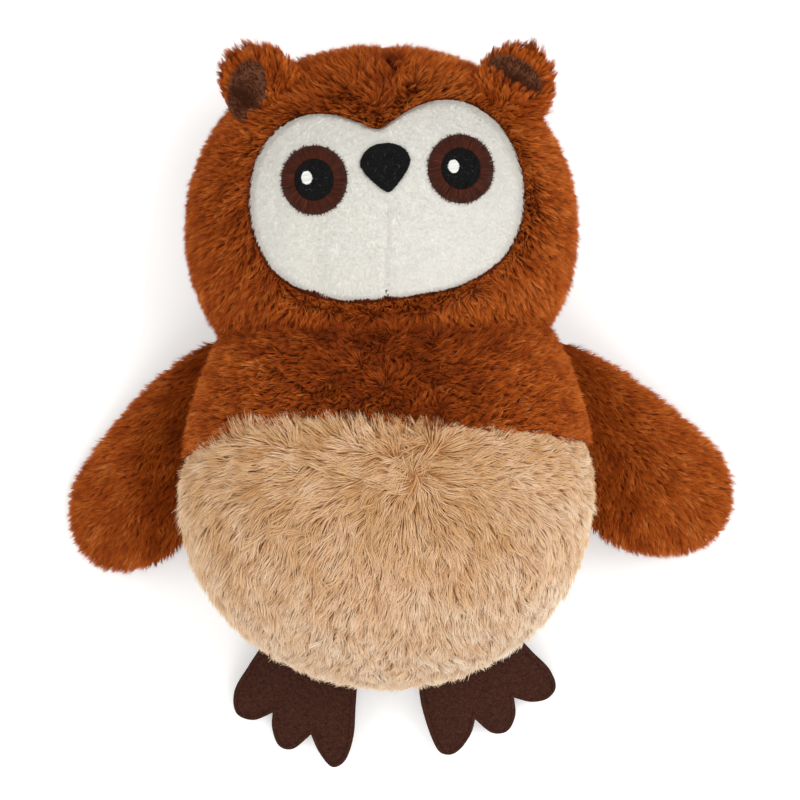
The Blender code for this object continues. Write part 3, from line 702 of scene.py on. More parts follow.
def spun_patch(inner, steps, turns):
    """A flat disc, or a ring where inner is above 0, of radius 1 on the X and Y plane, spun from one spoke."""
    bm = bmesh.new()
    spoke = [bm.verts.new((inner + (1 - inner) * step / steps, 0, 0)) for step in range(steps + 1)]
    edges = [bm.edges.new(pair) for pair in zip(spoke, spoke[1:])]
    bmesh.ops.spin(
        bm, geom=spoke + edges, cent=(0, 0, 0), axis=(0, 0, 1), angle=2 * math.pi, steps=turns, use_merge=True
    )
    bmesh.ops.remove_doubles(bm, verts=bm.verts, dist=1e-5)
    bmesh.ops.recalc_face_normals(bm, faces=bm.faces)
    if bm.faces[0].normal.z < 0:
        bmesh.ops.reverse_faces(bm, faces=bm.faces)
    return bm


def fit_outline(bm, outline):
    """Stretches a round patch to an outline, and returns how far out each vertex was."""
    middle = outline.mean(axis=0)
    shares = []
    for vert in bm.verts:
        share = vert.co.xy.length
        turn = math.atan2(vert.co.y, vert.co.x) / (2 * math.pi) % 1.0 * len(outline)
        first = int(turn) % len(outline)
        edge = outline[first] + (turn - int(turn)) * (outline[(first + 1) % len(outline)] - outline[first])
        vert.co.xy = middle + share * (edge - middle)
        shares.append(share)
    return shares


def surface_of(bm):
    """A tool that gives the height of a surface over any point of the floor."""
    tree = BVHTree.FromBMesh(bm)

    def height(x, y):
        spot = tree.ray_cast((x, y, 0.3), (0, 0, -1))[0]
        return spot.z if spot else 0.0

    return height


head_top = head_cloth(FACE_DEPTH)
over_head = surface_of(head_top)
face = spun_patch(0.0, 60, 192)
for vert, share in zip(face.verts, fit_outline(face, face_edge)):
    x, y = vert.co.xy
    sink = 0.0016 * float(step_up(0.93, 1.0, share))
    below = float(step_up(0.0, 0.006, 0.1185 - y))
    sink += 0.0008 * below * math.exp(-(((x - FACE_SEAM_X) / 0.0012) ** 2))
    sink += 0.0006 * below * math.exp(-(((x - FACE_SEAM_X) / 0.0045) ** 2))
    for middle, deep, wide in FACE_CREASES:
        low = float(step_up(0.0, 0.014, 0.117 - y))
        sink += deep * low * math.exp(-(((x - middle) / wide) ** 2))
    sink += 0.0011 * math.exp(-(((x - FACE_SEAM_X) / 0.0030) ** 2) - ((y - FACE_PUCKER_Y) / 0.0024) ** 2)
    vert.co.z = over_head(x, y) - sink
face.normal_update()

# Cropped polyester pile: very matt, off-white, with a little painted shade darkening it towards the roots of its
# fibres.
white_dyes = ((0.0, "#cac7bc"), (1.0, "#eae7e1"), (0.5, "#d8d5cc"))
white_velour = fibre_finish("white_cropped_plush", white_dyes, 0.8, root="#d1cec5")
# Backing of the same plush: white polyester knit, matt, its ribs drawn 1.2 mm wide so that they show.
white_backing = knit_backing("white_knit_backing", "#d4d1c8", "#dddad2")


def comb_face(roots, normals):
    """Pile that leans down and away from the seam, and over it from both sides where it is close."""
    off = roots[:, 0] - FACE_SEAM_X
    side = np.tanh(off / 0.01) - 2.4 * np.exp(-((off / 0.0014) ** 2)) * np.sign(off)
    return np.stack([side * 0.5, np.full(len(roots), -1.0), np.zeros(len(roots))], 1)


def tone_face(roots, normals):
    """A little paler at the right, as painted light."""
    return 0.52 + 0.16 * np.tanh(roots[:, 0] / 0.02) + 0.03 * wander(roots, 0.012, 51)


face_left, face_right = face, face.copy()
trim(face_left, (FACE_SEAM_X - GAP / 2, 0, 0), (1, 0, 0))
trim(face_right, (FACE_SEAM_X + GAP / 2, 0, 0), (-1, 0, 0))
for seed, (name, cloth) in enumerate((("left", face_left), ("right", face_right))):
    lay_pile(
        f"face_{name}_pile", "owl_body", cloth, white_velour, "white_plush", 3.4, 0.0016, 0.00064, comb_face,
        tone_face, 52 + seed, lifts=(16, 3), stray=0.05, draw=0.0, tuft=0.0015, mottle=0.0, speck=0.03, lean=0.1,
        unrest=0.2, flat=0.25,
    )
    sew_on(f"face_{name}_cloth", cloth, white_backing, "owl_body", "white_plush", f"face_panel_{name}")

# Eyes
# Machine embroidery on the face: a dark brown ring of satin stitch that runs outwards, a black pupil of straight
# stitch, and a small pale glint. The rings end unevenly, stitch by stitch.
EYE_SPACING = 0.0566
EYE_MIDDLE = (0.0000, 0.1268)
EYE_ROLL = 4.5 * DEGREE
EYE_RING = (0.0261, 0.0275)
PUPIL = (0.0150, 0.0161)
GLINT_WIDTH = 0.0050
GLINT_SHIFT = (-0.0028, 0.0008)
RING_RISE = 0.0013
PUPIL_RISE = 0.0016
GLINT_RISES = (PUPIL_RISE + 0.0003, PUPIL_RISE + 0.00035)
BASE_SINK = 0.0002
PATCH_THICKNESS = 0.0012
THREAD = 0.00042
ROW_PITCH = 0.00036
ROW_STITCH = 0.0042


def ellipse(middle, width, height, roll, count):
    """Points of a rolled ellipse, anticlockwise."""
    turn = np.arange(count) / count * 2 * np.pi
    x, y = np.cos(turn) * width / 2, np.sin(turn) * height / 2
    return np.stack(
        [middle[0] + x * math.cos(roll) - y * math.sin(roll), middle[1] + x * math.sin(roll) + y * math.cos(roll)], 1
    )


def thread_ground(name, dark, light):
    """The first layer of stitches under the satin, seen only as a thread-fine ground about 0.4 mm to a row."""
    rows = ("ShaderNodeTexWave", "Fac", {"Scale": 800.0, "Distortion": 2.0})
    return patterned_finish(name, [rows], ((0.2, dark), (0.8, light)), (0.5, 0.0002), {"Roughness": 0.65})


# Trilobal polyester thread, spun bright: a silky gleam along each stitch, and slight changes of dye.
brown_dyes = ((0.0, "#2a120a"), (1.0, "#5c2b1c"), (0.5, "#411d12"))
brown_thread = fibre_finish("dark_brown_embroidery_thread", brown_dyes, 0.6, 0.07)
black_thread = fibre_finish("black_embroidery_thread", ((0.0, "#050505"), (1.0, "#191818")), 0.7, 0.07)
pale_thread = fibre_finish("pale_embroidery_thread", ((0.0, "#b9bab4"), (1.0, "#f4f4f0")), 0.45, 0.07)
brown_ground = thread_ground("brown_underlay_stitches", "#2a130d", "#43231a")
black_ground = thread_ground("black_underlay_stitches", "#040404", "#0d0d0d")
pale_ground = thread_ground("pale_underlay_stitches", "#b5b6b0", "#dcddd8")
stitch = draw_fibre(5, (0.35, 1.0, 1.0, 0.35))
STITCH_SHARES = np.array((0.0, 0.12, 0.88, 1.0))
STITCH_SAGS = (0.0007, 0.0, 0.0, 0.0007)


def stitched_base(name, outline, inner, rise, finish, slot, node):
    """The stitched patch itself, crowned from its edge to its middle, that the top stitches lie on."""
    bm = spun_patch(inner, 10, 72)
    for vert, share in zip(bm.verts, fit_outline(bm, outline)):
        crown = 1 - float(step_up(0.80, 1.0, share))
        vert.co.z = over_head(*vert.co.xy) + rise * (0.25 + 0.75 * crown)
    sew_on(name, bm, finish, "owl_body", slot, node, thickness=PATCH_THICKNESS)


def lay_stitches(name, starts, ends, rise, finish, slot, shade, seed):
    """Threads laid side by side on a patch, pulled down at both ends."""
    rng = np.random.default_rng(seed)
    count = len(starts)
    lines = np.zeros((count, len(STITCH_SHARES), 3))
    for ring, share in enumerate(STITCH_SHARES):
        flat = starts + share * (ends - starts)
        sag = STITCH_SAGS[ring]
        lift = rng.uniform(0.00002, 0.00016, count)
        lines[:, ring, :2] = flat
        lines[:, ring, 2] = [over_head(x, y) + rise - sag + more for (x, y), more in zip(flat, lift)]
    along = unit(lines[:, -1] - lines[:, 0])
    across = unit(np.cross((0, 0, 1), along * (1, 1, 0)))
    out = np.cross(along, across)
    tones = np.clip(shade + rng.normal(0, 0.16, count), 0, 0.999)
    lay_fibres(name, stitch, lines, across, out, THREAD, tones, finish, "owl_body", slot, lean=0.9)


def stitch_rows(outline, slant, seed, over=0.0005):
    """Straight stitches that fill an outline row by row, some a little over it, each row broken unevenly."""
    rng = np.random.default_rng(seed)
    turn = np.array([[math.cos(slant), math.sin(slant)], [-math.sin(slant), math.cos(slant)]])
    turned = outline @ turn.T
    starts, ends = [], []
    for y in np.arange(turned[:, 1].min() + ROW_PITCH / 2, turned[:, 1].max(), ROW_PITCH):
        pairs = zip(turned, np.roll(turned, -1, axis=0))
        met = sorted(a[0] + (b[0] - a[0]) * (y - a[1]) / (b[1] - a[1]) for a, b in pairs if (a[1] < y) != (b[1] < y))
        for left, right in zip(met[::2], met[1::2]):
            left, right = left - rng.uniform(0, over), right + rng.uniform(0, over)
            pieces = max(1, round((right - left) / ROW_STITCH))
            breaks = np.linspace(left, right, pieces + 1)
            breaks[1:-1] += rng.uniform(-0.0012, 0.0012, pieces - 1)
            for first, last in zip(breaks, breaks[1:]):
                starts.append((first, y))
                ends.append((last, y))
    return np.array(starts) @ turn, np.array(ends) @ turn


def filled_patch(name, outline, slant, rises, finishes, slot, shade, seeds, over=0.0005):
    """A patch filled with rows of straight stitches: its base, and the stitches that lie on it."""
    stitched_base(f"{name}_base", outline, 0.0, rises[0], finishes[0], slot, name)
    starts, ends = stitch_rows(outline, slant, seeds[0], over)
    lay_stitches(f"{name}_stitches", starts, ends, rises[1], finishes[1], slot, shade, seeds[1])


blacks = (black_ground, black_thread)
for seed, (side, name) in enumerate(SIDES):
    centre = (
        EYE_MIDDLE[0] + side * math.cos(EYE_ROLL) * EYE_SPACING / 2,
        EYE_MIDDLE[1] + side * math.sin(EYE_ROLL) * EYE_SPACING / 2,
    )
    glint_at = (centre[0] + GLINT_SHIFT[0], centre[1] + GLINT_SHIFT[1])
    rim = ellipse(centre, EYE_RING[0] - 0.0006, EYE_RING[1] - 0.0006, EYE_ROLL, 72)
    stitched_base(
        f"eye_ring_{name}_base", rim, 0.5, RING_RISE - BASE_SINK, brown_ground, "dark_brown_thread", f"eye_ring_{name}"
    )
    rng = np.random.default_rng(60 + seed)
    for layer, (count, inner, outer) in enumerate(((170, 0.97, 1.0), (120, 0.97, 0.86))):
        tilt = rng.normal(0.05, 0.03, count)
        first = ellipse(centre, PUPIL[0] * inner, PUPIL[1] * inner, EYE_ROLL, count)
        spread = ellipse((0, 0), EYE_RING[0] * outer, EYE_RING[1] * outer, EYE_ROLL, count)
        spread = spread * (1 + rng.uniform(-0.035, 0.045, count))[:, None]
        swung = np.stack([spread[:, 0] - tilt * spread[:, 1], spread[:, 1] + tilt * spread[:, 0]], 1)
        lay_stitches(
            f"eye_ring_{name}_stitches_{layer}", first, swung + centre, RING_RISE + 0.00012 * layer, brown_thread,
            "dark_brown_thread", 0.45, 62 + 2 * seed + layer,
        )
    edge = ellipse(centre, *PUPIL, EYE_ROLL, 72)
    rises = (PUPIL_RISE - BASE_SINK, PUPIL_RISE)
    filled_patch(f"pupil_{name}", edge, 65 * DEGREE, rises, blacks, "black_thread", 0.4, (66 + seed, 68 + seed))
    edge = ellipse(glint_at, GLINT_WIDTH * 0.96, GLINT_WIDTH * 1.04, 0, 36)
    filled_patch(
        f"eye_glint_{name}", edge, 10 * DEGREE, GLINT_RISES, (pale_ground, pale_thread), "pale_thread", 0.6,
        (70 + seed, 72 + seed), over=0.0001,
    )

# Beak
# A rounded kite of black straight stitch over the top of the face seam, its rows running across.
BEAK = (0.0192, 0.0192)
BEAK_MIDDLE = (-0.0006, 0.1292)
BEAK_RISE = 0.0015
BEAK_OUTLINE_SHARES = (
    (0.00, 1.00), (0.42, 0.93), (0.80, 0.68), (1.00, 0.28),
    (0.90, -0.08), (0.62, -0.46), (0.28, -0.82), (0.00, -1.00),
)
edge = rounded_outline(BEAK_OUTLINE_SHARES, BEAK_MIDDLE, *BEAK, FACE_ROLL, 72)
rises = (BEAK_RISE - BASE_SINK, BEAK_RISE)
filled_patch("beak", edge, FACE_ROLL, rises, blacks, "black_thread", 0.4, (80, 81))

# Ears
# Small stuffed lobes of the same brown fur, sewn along their foot to the crown, with a dark short plush let into
# the front. Their pile is left long and stands up in points round the lining.
EAR_SIZES = (0.032, 0.009, 0.009, 0.018, 0.018, (2.0, 2.0))
EAR_SPACING = 0.0975
EAR_MIDDLE = (-0.0006, 0.1608, 0.0745)
EAR_LEAN = 32.0 * DEGREE
EAR_LINING = (0.0240, 0.0155)
EAR_LINING_PLACES = {"left": (-0.0044, 0.0024, 46.0 * DEGREE), "right": (-0.0016, 0.0042, 0.0)}
EAR_HOLLOW_SHADES = {"left": (-0.0072, 0.0006, 0.0045, 0.0055), "right": (-0.0010, 0.0030, 0.0100, 0.0032)}
FUR_OVER_LINING = {"left": -0.0060, "right": 0.0016}
EAR_PILE_DEPTH = 0.0022
LINING_DISH = 0.0030
LINING_RISE = 0.0007
LINING_BACKING = 0.0004

# Cropped pile of the ear's lining: dark brown polyester, very matt, painted nearly black where it turns into the fold,
# as shade.
ear_dyes = ((0.0, "#2a1209"), (1.0, "#9a6448"), (0.5, "#653a26"))
ear_velour = fibre_finish("dark_cropped_plush", ear_dyes, 0.8, root="#3b1d10")
# Backing of the ear's lining: dark brown knit, matt, its ribs drawn 1.2 mm wide so that they show.
ear_backing = knit_backing("dark_knit_backing", "#34180c", "#4c2614")
crown_tree = BVHTree.FromBMesh(head_top)


def clear_of_head(roots):
    """The roots that the head's cover doesn't hide."""
    kept = []
    for root in roots:
        spot, normal = crown_tree.find_nearest(Vector(root))[:2]
        kept.append((Vector(root) - spot).dot(normal) > -0.0005)
    return np.array(kept)


for seed, (side, name) in enumerate(SIDES):
    foot = (EAR_MIDDLE[0] + side * EAR_SPACING / 2, *EAR_MIDDLE[1:])
    seat = Matrix.Translation(foot) @ Matrix.Rotation(-side * EAR_LEAN, 4, "Z")
    back_to_ear = seat.inverted()
    shift_x, shift_y, turn = EAR_LINING_PLACES[name]
    rim = ellipse((shift_x, shift_y), *EAR_LINING, turn, 96)

    def share_of_lining(points):
        """0 in the middle of the lining and 1 at its edge."""
        x, y = points[:, 0] - shift_x, points[:, 1] - shift_y
        u = (x * math.cos(turn) + y * math.sin(turn)) / (EAR_LINING[0] / 2)
        v = (y * math.cos(turn) - x * math.sin(turn)) / (EAR_LINING[1] / 2)
        return np.hypot(u, v)

    lobe = stuffed_egg(64, 44, *EAR_SIZES)
    draw_in(lobe, EAR_PILE_DEPTH)
    spots = np.array([vert.co[:] for vert in lobe.verts])
    for vert, share in zip(lobe.verts, share_of_lining(spots)):
        if vert.co.z > 0:
            vert.co.z -= LINING_DISH * (1 - float(step_up(0.55, 1.05, share)))
    lobe.normal_update()
    over_lobe = surface_of(lobe)
    lobe.transform(seat)
    lobe.normal_update()

    def comb_ear(roots, normals):
        """Up and out from the ear's foot."""
        spots = moved(roots, back_to_ear)
        way = np.stack([spots[:, 0] * 1.1, spots[:, 1] + 0.022, 0.3 * spots[:, 2]], 1)
        way[:, 0] += 0.005 * wander(roots, 0.012, 90 + seed)
        return aimed(unit(way), seat)

    def tone_ear(roots, normals):
        """Even, in small patches."""
        return 0.50 + 0.12 * wander(roots, 0.010, 92 + seed)

    def reach_ear(roots, normals):
        """Longest at the top of the back, and short in front and along the left ear's outer edge."""
        spots = moved(roots, back_to_ear)
        high = step_up(0.0, 0.016, spots[:, 1])
        outer = step_up(-0.2, 0.8, side * spots[:, 0] / 0.016) * (1 - high) * (side < 0)
        front = (spots[:, 2] > 0) & (share_of_lining(spots) < 1.45)
        low = step_up(-0.002, 0.008, shift_y - spots[:, 1]) * (side < 0)
        return np.where(front, 0.0040 - 0.0020 * low, 0.0050 + 0.0024 * high) * (1 - 0.72 * outer)

    def round_lining(roots):
        """The roots that neither the head nor the lining covers."""
        spots = moved(roots, back_to_ear)
        bare = (share_of_lining(spots) < 0.95) & (spots[:, 1] > FUR_OVER_LINING[name])
        return clear_of_head(roots) & ~((spots[:, 2] > 0) & bare)

    lay_pile(
        f"ear_{name}_pile", "owl_body", lobe, brown_pile, "brown_fur", 7.5, reach_ear, FINE, comb_ear, tone_ear,
        94 + seed, keep=round_lining, tuft=0.0015, draw=0.5, lifts=(46, 36), stray=0.40, lean=1.6,
    )
    sew_on(f"ear_{name}_lobe", lobe, brown_backing, "owl_body", "brown_fur", f"ear_{name}")
    lining = spun_patch(0.0, 14, 72)
    for vert, share in zip(lining.verts, fit_outline(lining, rim)):
        tucked = 0.0008 * float(step_up(0.85, 1.0, share))
        vert.co.z = over_lobe(*vert.co.xy) + LINING_RISE - tucked
    trim(lining, (0, FUR_OVER_LINING[name] - 0.0006, 0), (0, -1, 0))
    lining.transform(seat)
    lining.normal_update()

    def comb_lining(roots, normals):
        """Up the lining."""
        way = np.zeros_like(roots)
        way[:, 1] = 1.0
        way[:, 0] = 0.5 * wander(roots, 0.010, 96 + seed)
        return aimed(way, seat)

    def tone_lining(roots, normals):
        """Darkest in its hollow, as painted shade."""
        spots = moved(roots, back_to_ear)
        x, y, wide, high = EAR_HOLLOW_SHADES[name]
        hollow = np.exp(-(((spots[:, 0] - x) / wide) ** 2) - ((spots[:, 1] - y) / high) ** 2)
        return 0.78 - 0.66 * hollow + 0.08 * wander(roots, 0.006, 98)

    lay_pile(
        f"ear_lining_{name}_pile", "owl_body", lining, ear_velour, "ear_plush", 7.0, 0.0016, FINE, comb_lining,
        tone_lining, 100 + seed, lifts=(50, 24), keep=clear_of_head, tuft=0.0012, draw=0.2, mottle=0.06,
    )
    cloth = f"ear_lining_{name}_cloth"
    sew_on(cloth, lining, ear_backing, "owl_body", "ear_plush", f"ear_lining_{name}", thickness=LINING_BACKING)

# Wings
# Stuffed paddles of brown fur, a front and a back cover each over their fill. Their root thins to an edge that
# bends back into the body's fur, where the side seam holds it, and they swing there. Their pile runs to the tip.
WING_LENGTH = 0.109
WING_SIZES = (0.060, 0.012, 0.012, WING_LENGTH * 0.30, WING_LENGTH * 0.70)
WING_FULLNESS = {"left": (1.8, 1.6), "right": (1.8, 1.35)}
WING_SKEW = 0.25
WING_INNER_WIDTHS = {"left": 1.0, "right": 1.2}
WING_START = (-0.015, -0.004, 0)
WING_SPREADS = {"left": 19 * DEGREE, "right": 27 * DEGREE}
WING_DROOPS = {"left": 29.01 * DEGREE, "right": 23.28 * DEGREE}
WING_WEDGE = 24.0 * DEGREE
WING_PILE_DEPTH = 0.0025
WING_PILES = {"front": (5.8, 0.00032), "back": (2.2, 0.00052)}
WING_ROOT_OUT = -0.0012
WING_ROOT_BEND = 3.8
WING_ROOT_MIDDLE = 0.021
WING_ROOT_ROOM = 0.0004
WING_FILL_START = 0.004
WING_LOWEST = 0.0012
joints = {joint["child"]: joint for joint in frame["joints"]}


def seam_frame(body, droop):
    """The frame of a piece that hangs from its seam: X along the seam, Y out from the body, Z off its front."""
    joint = joints[body]
    along = Vector(joint["axis"]).normalized()
    out = Vector((0, 0, 1)).cross(along)
    turned = Matrix((along, out, Vector((0, 0, 1)))).transposed()
    return Matrix.Translation(joint["pos_m"]) @ turned.to_4x4() @ Matrix.Rotation(-droop, 4, "X")


def root_line(along):
    """How far out the wing's root edge runs: a little behind the axis, and more so at both ends, in the fur."""
    return WING_ROOT_OUT - WING_ROOT_BEND * (along - WING_ROOT_MIDDLE) ** 2


for seed, (side, name) in enumerate(SIDES):
    body = f"wing_{name}"
    hang = seam_frame(body, WING_DROOPS[name])
    spread = WING_SPREADS[name]
    width, *depths = WING_SIZES
    inner = [depth - WING_PILE_DEPTH for depth in depths]
    wing = stuffed_egg(72, 72, width - 2 * WING_PILE_DEPTH, *inner, WING_FULLNESS[name])
    for vert in wing.verts:
        vert.co.x *= WING_INNER_WIDTHS[name] if vert.co.x < 0 else 1.0
        vert.co.y -= WING_SIZES[4] + WING_SKEW * vert.co.x
    wing.transform(Matrix.Translation(WING_START) @ Matrix.Rotation(math.pi / 2 + spread, 4, "Z"))
    # The root's bent edge is made straight to be cut, and bent back once the thickness has been drawn in.
    for vert in wing.verts:
        vert.co.y -= root_line(vert.co.x)
    trim(wing, (0, 0, 0), (0, -1, 0))
    fill = trim(wing.copy(), (0, WING_FILL_START, 0), (0, -1, 0))
    bmesh.ops.contextual_create(fill, geom=[edge for edge in fill.edges if edge.is_boundary])
    for part in (wing, fill):
        for vert in part.verts:
            room = max(BACKING + GAP, math.tan(WING_WEDGE) * (vert.co.y + WING_ROOT_OUT) - WING_ROOT_ROOM)
            vert.co.z *= min(1.0, room / inner[0])
            vert.co.y += root_line(vert.co.x)
        if side < 0:
            part.transform(Matrix.Diagonal((-1, 1, 1, 1)))
            bmesh.ops.reverse_faces(part, faces=part.faces)
        part.normal_update()
    # The fill is the same shape, drawn in by the cloth's thickness without turning inside out where it is thin.
    heights = [vert.co.z for vert in fill.verts]
    draw_in(fill, BACKING + GAP)
    for vert, height in zip(fill.verts, heights):
        if vert.co.z * height <= 0:
            vert.co.z = math.copysign(GAP, height)
    fill.transform(hang)
    settle(fill, WING_LOWEST + BACKING)
    sew_on(f"wing_{name}_fill", fill, polyester_fill, body, "polyester_stuffing", f"wing_{name}_stuffing", thickness=0)
    covers = {"front": wing.copy(), "back": wing}
    trim(covers["front"], (0, 0, GAP / 2), (0, 0, -1))
    trim(covers["back"], (0, 0, -GAP / 2), (0, 0, 1))
    back_to_wing = hang.inverted()

    def comb_wing(roots, normals):
        """Out from the root to the tip, fanning to both edges, and back over the seam close to it."""
        places = moved(roots, back_to_wing)
        axis = np.array((side * math.cos(spread), math.sin(spread), 0))
        edge = np.array((-axis[1], axis[0], 0))
        spots = places - (side * WING_START[0], WING_START[1], 0)
        from_wide = spots @ axis - WING_SIZES[4]
        share = np.abs(from_wide) / np.where(from_wide > 0, WING_SIZES[3], WING_SIZES[4])
        half = WING_SIZES[0] / 2 * np.sqrt(np.clip(1 - share**2, 0.02, 1))
        fan = 0.8 * np.clip(spots @ edge / half, -1.3, 1.3) + 0.25 * wander(roots, 0.024, 110 + seed)
        way = axis + fan[:, None] * edge
        off_root = places[:, 1] - root_line(side * places[:, 0])
        way[:, 1] -= 1.4 * (1 - step_up(0.0, 0.004, off_root))
        return aimed(way, hang)

    def tone_wing(roots, normals):
        """Darker close to the root, as painted shade, and paler on the right wing, as painted light."""
        root_shade = 1 - step_up(0.004, 0.03, moved(roots, back_to_wing)[:, 1])
        return (0.60 if side > 0 else 0.55) - 0.14 * root_shade + 0.10 * wander(roots, 0.014, 112 + seed)

    for layer, (where, cover) in enumerate(covers.items()):
        cover.transform(hang)
        settle(cover, WING_LOWEST)
        per_mm2, width = WING_PILES[where]
        lay_pile(
            f"wing_{name}_{where}_pile", body, cover, brown_pile, "brown_fur", per_mm2, 0.0047, width, comb_wing,
            tone_wing, 114 + 2 * seed + layer, stray=0.28, draw=0.28, tuft=0.0012, mottle=0.07, speck=0.16,
            lifts=(56, 28),
        )
        piece = sew_on(
            f"wing_{name}_{where}_cloth", cover, brown_backing, body, "brown_fur", f"wing_{name}_{where}_cover",
            thickness=0,
        )
        backing = piece.modifiers.new("backing", "SOLIDIFY")
        backing.thickness = BACKING

# Feet
# Two plies of dark brown felt cut as one three-toed outline and sewn together near the edge with one row of
# stitches. The upper ply's rolled hem lies in the bottom seam, where the foot swings, and a tab of the ply reaches
# on through the fur to it.
FELT_PLY = 0.0015
FELT_ROOT = (0.0041, 6.0, 0.017)
FELT_START = 0.0008
TAB_INSET = 0.0015
LOWER_ROOT = (0.020, 0)
HEM_RADIUS = 0.0016
HEM = (0.008, 0.032)
STITCH_LENGTH = 0.0020
STITCH_PITCH = 0.0026
FELT_EDGE = 0.0005
FELT_INSETS = ((0.0002, 0.0003), (0.0003, 0.0002), (0.0010, 0), (0.0003, -0.0003), (0.0003, 0.0003))
SEAM_ROW = 3
ROW_START = 0.003
ROW_HEIGHTS = (-0.0003, 0.0002, 0.0002, -0.0003)
# Marks along each toe's edge, in mm from one end of the foot's seam.
TOE_LINES = {
    "left": (
        ((0, -2.2), (0, 4.0), (-1.6, 14.9), (-2.9, 27.5), (1.2, 36.8), (8.8, 36.8), (14.9, 29.8)),
        ((14.9, 29.8), (17.0, 36.5), (22.4, 43.3), (28.4, 42.1), (32.8, 32.3)),
        ((32.8, 32.3), (38.5, 38.5), (46.0, 42.8), (49.9, 37.2), (49.0, 25.9), (44.9, 12.4), (40.5, -2.2)),
    ),
    "right": (
        ((0, -2.2), (0, 3.0), (-1.8, 11.0), (-5.0, 22.6), (-4.0, 30.9), (1.1, 34.1), (7.5, 32.1), (13.1, 26.4)),
        ((13.1, 26.4), (15.9, 34.7), (21.6, 39.9), (27.7, 37.2), (31.3, 27.6)),
        ((31.3, 27.6), (35.4, 33.1), (42.2, 37.7), (47.7, 37.6), (50.7, 31.3), (48.6, 12.5), (44.5, -2.2)),
    ),
}
# Pressed felt: matted short fibre, quite matt, with lighter fibres in it and a fuzzy relief about 0.6 mm across.
brown_felt, tree = new_finish("pressed_brown_felt")
spot = add(tree, "ShaderNodeTexCoord").outputs["Object"]
cloud = add(tree, "ShaderNodeTexNoise", {"Vector": spot, "Scale": 620.0, "Detail": 8.0, "Roughness": 0.8})
mat = add(tree, "ShaderNodeTexNoise", {"Vector": spot, "Scale": 1500.0, "Detail": 3.0, "Distortion": 1.5})
dye = add(tree, "ShaderNodeValToRGB", {"Fac": cloud.outputs["Fac"]}, stops=((0.34, "#24100b"), (0.66, "#4b2a1f")))
sockets = {"Value": mat.outputs["Fac"], "From Min": 0.50, "From Max": 0.72, "To Max": 0.6}
paler = add(tree, "ShaderNodeMapRange", sockets).outputs["Result"]
sockets = {"Factor": paler, "A": dye.outputs["Color"], "B": linear("#643f2f")}
mixed = add(tree, "ShaderNodeMix", sockets, data_type="RGBA").outputs["Result"]
fuzz = add(tree, "ShaderNodeBump", {"Height": mat.outputs["Fac"], "Strength": 0.9, "Distance": 0.0006})
sockets = {"Base Color": mixed, "Roughness": 0.95, "Specular IOR Level": 0.10, "Normal": fuzz.outputs["Normal"]}
close_finish(tree, sockets)


def smooth_line(marks, steps):
    """A smooth line through its marks, without the last one."""
    points = np.array((marks[0], *marks, marks[-1]))
    t = (np.arange(steps) / steps)[:, None]
    return np.concatenate([curve(*marks, t) for marks in zip(points, points[1:], points[2:], points[3:])])


def felt_ply(outline):
    """One ply with its edge rounded and a channel pressed in by the stitches, and the line that they follow."""
    bm = bmesh.new()
    rim = [bm.verts.new((x, y, GAP / 2)) for x, y in outline]
    edges = [bm.edges.new(pair) for pair in zip(rim, rim[1:] + rim[:1])]
    bmesh.ops.contextual_create(bm, geom=edges)
    raised = bmesh.ops.extrude_edge_only(bm, edges=edges)["geom"]
    upper = [part for part in raised if isinstance(part, bmesh.types.BMVert)]
    bmesh.ops.translate(bm, verts=upper, vec=(0, 0, FELT_PLY - FELT_EDGE))
    around = [edge for edge in raised if isinstance(edge, bmesh.types.BMEdge) and set(edge.verts) <= set(upper)]
    top = bmesh.ops.contextual_create(bm, geom=around)["faces"]
    bmesh.ops.recalc_face_normals(bm, faces=bm.faces)
    rows = []
    for inwards, rise in FELT_INSETS:
        bmesh.ops.inset_region(bm, faces=top, thickness=inwards, depth=rise, use_even_offset=True)
        rows.append(np.array([vert.co[:] for vert in top[0].verts]))
    bmesh.ops.triangulate(bm, faces=[face for face in bm.faces if len(face.verts) > 4])
    return bm, rows[SEAM_ROW]


def lay_row(name, row, frame_of_foot, body, seed):
    """One row of running stitches along a line, each pulled down at both ends."""
    rng = np.random.default_rng(seed)
    steps = np.linalg.norm(np.roll(row, -1, axis=0) - row, axis=1)
    run = np.concatenate([[0], np.cumsum(steps)])
    closed = np.concatenate([row, row[:1]])
    at = np.arange(0, run[-1] - STITCH_PITCH, STITCH_PITCH)
    start, end = (
        np.stack([np.interp(spots, run, closed[:, axis]) for axis in range(3)], 1) for spots in (at, at + STITCH_LENGTH)
    )
    shown = (start[:, 1] > ROW_START) & (end[:, 1] > ROW_START)
    start, end = start[shown], end[shown]
    lines = start[:, None] + STITCH_SHARES[None, :, None] * (end - start)[:, None]
    lines[:, :, 2] += np.array(ROW_HEIGHTS)
    lines = moved(lines, frame_of_foot)
    along = aimed(unit(end - start), frame_of_foot)
    up = np.broadcast_to(aimed((0, 0, 1), frame_of_foot), along.shape)
    across = np.cross(up, along)
    tones = np.clip(0.22 + rng.normal(0, 0.14, len(lines)), 0, 0.999)
    lay_fibres(name, stitch, lines, across, up, THREAD, tones, brown_thread, body, "dark_brown_thread", lean=0.9)


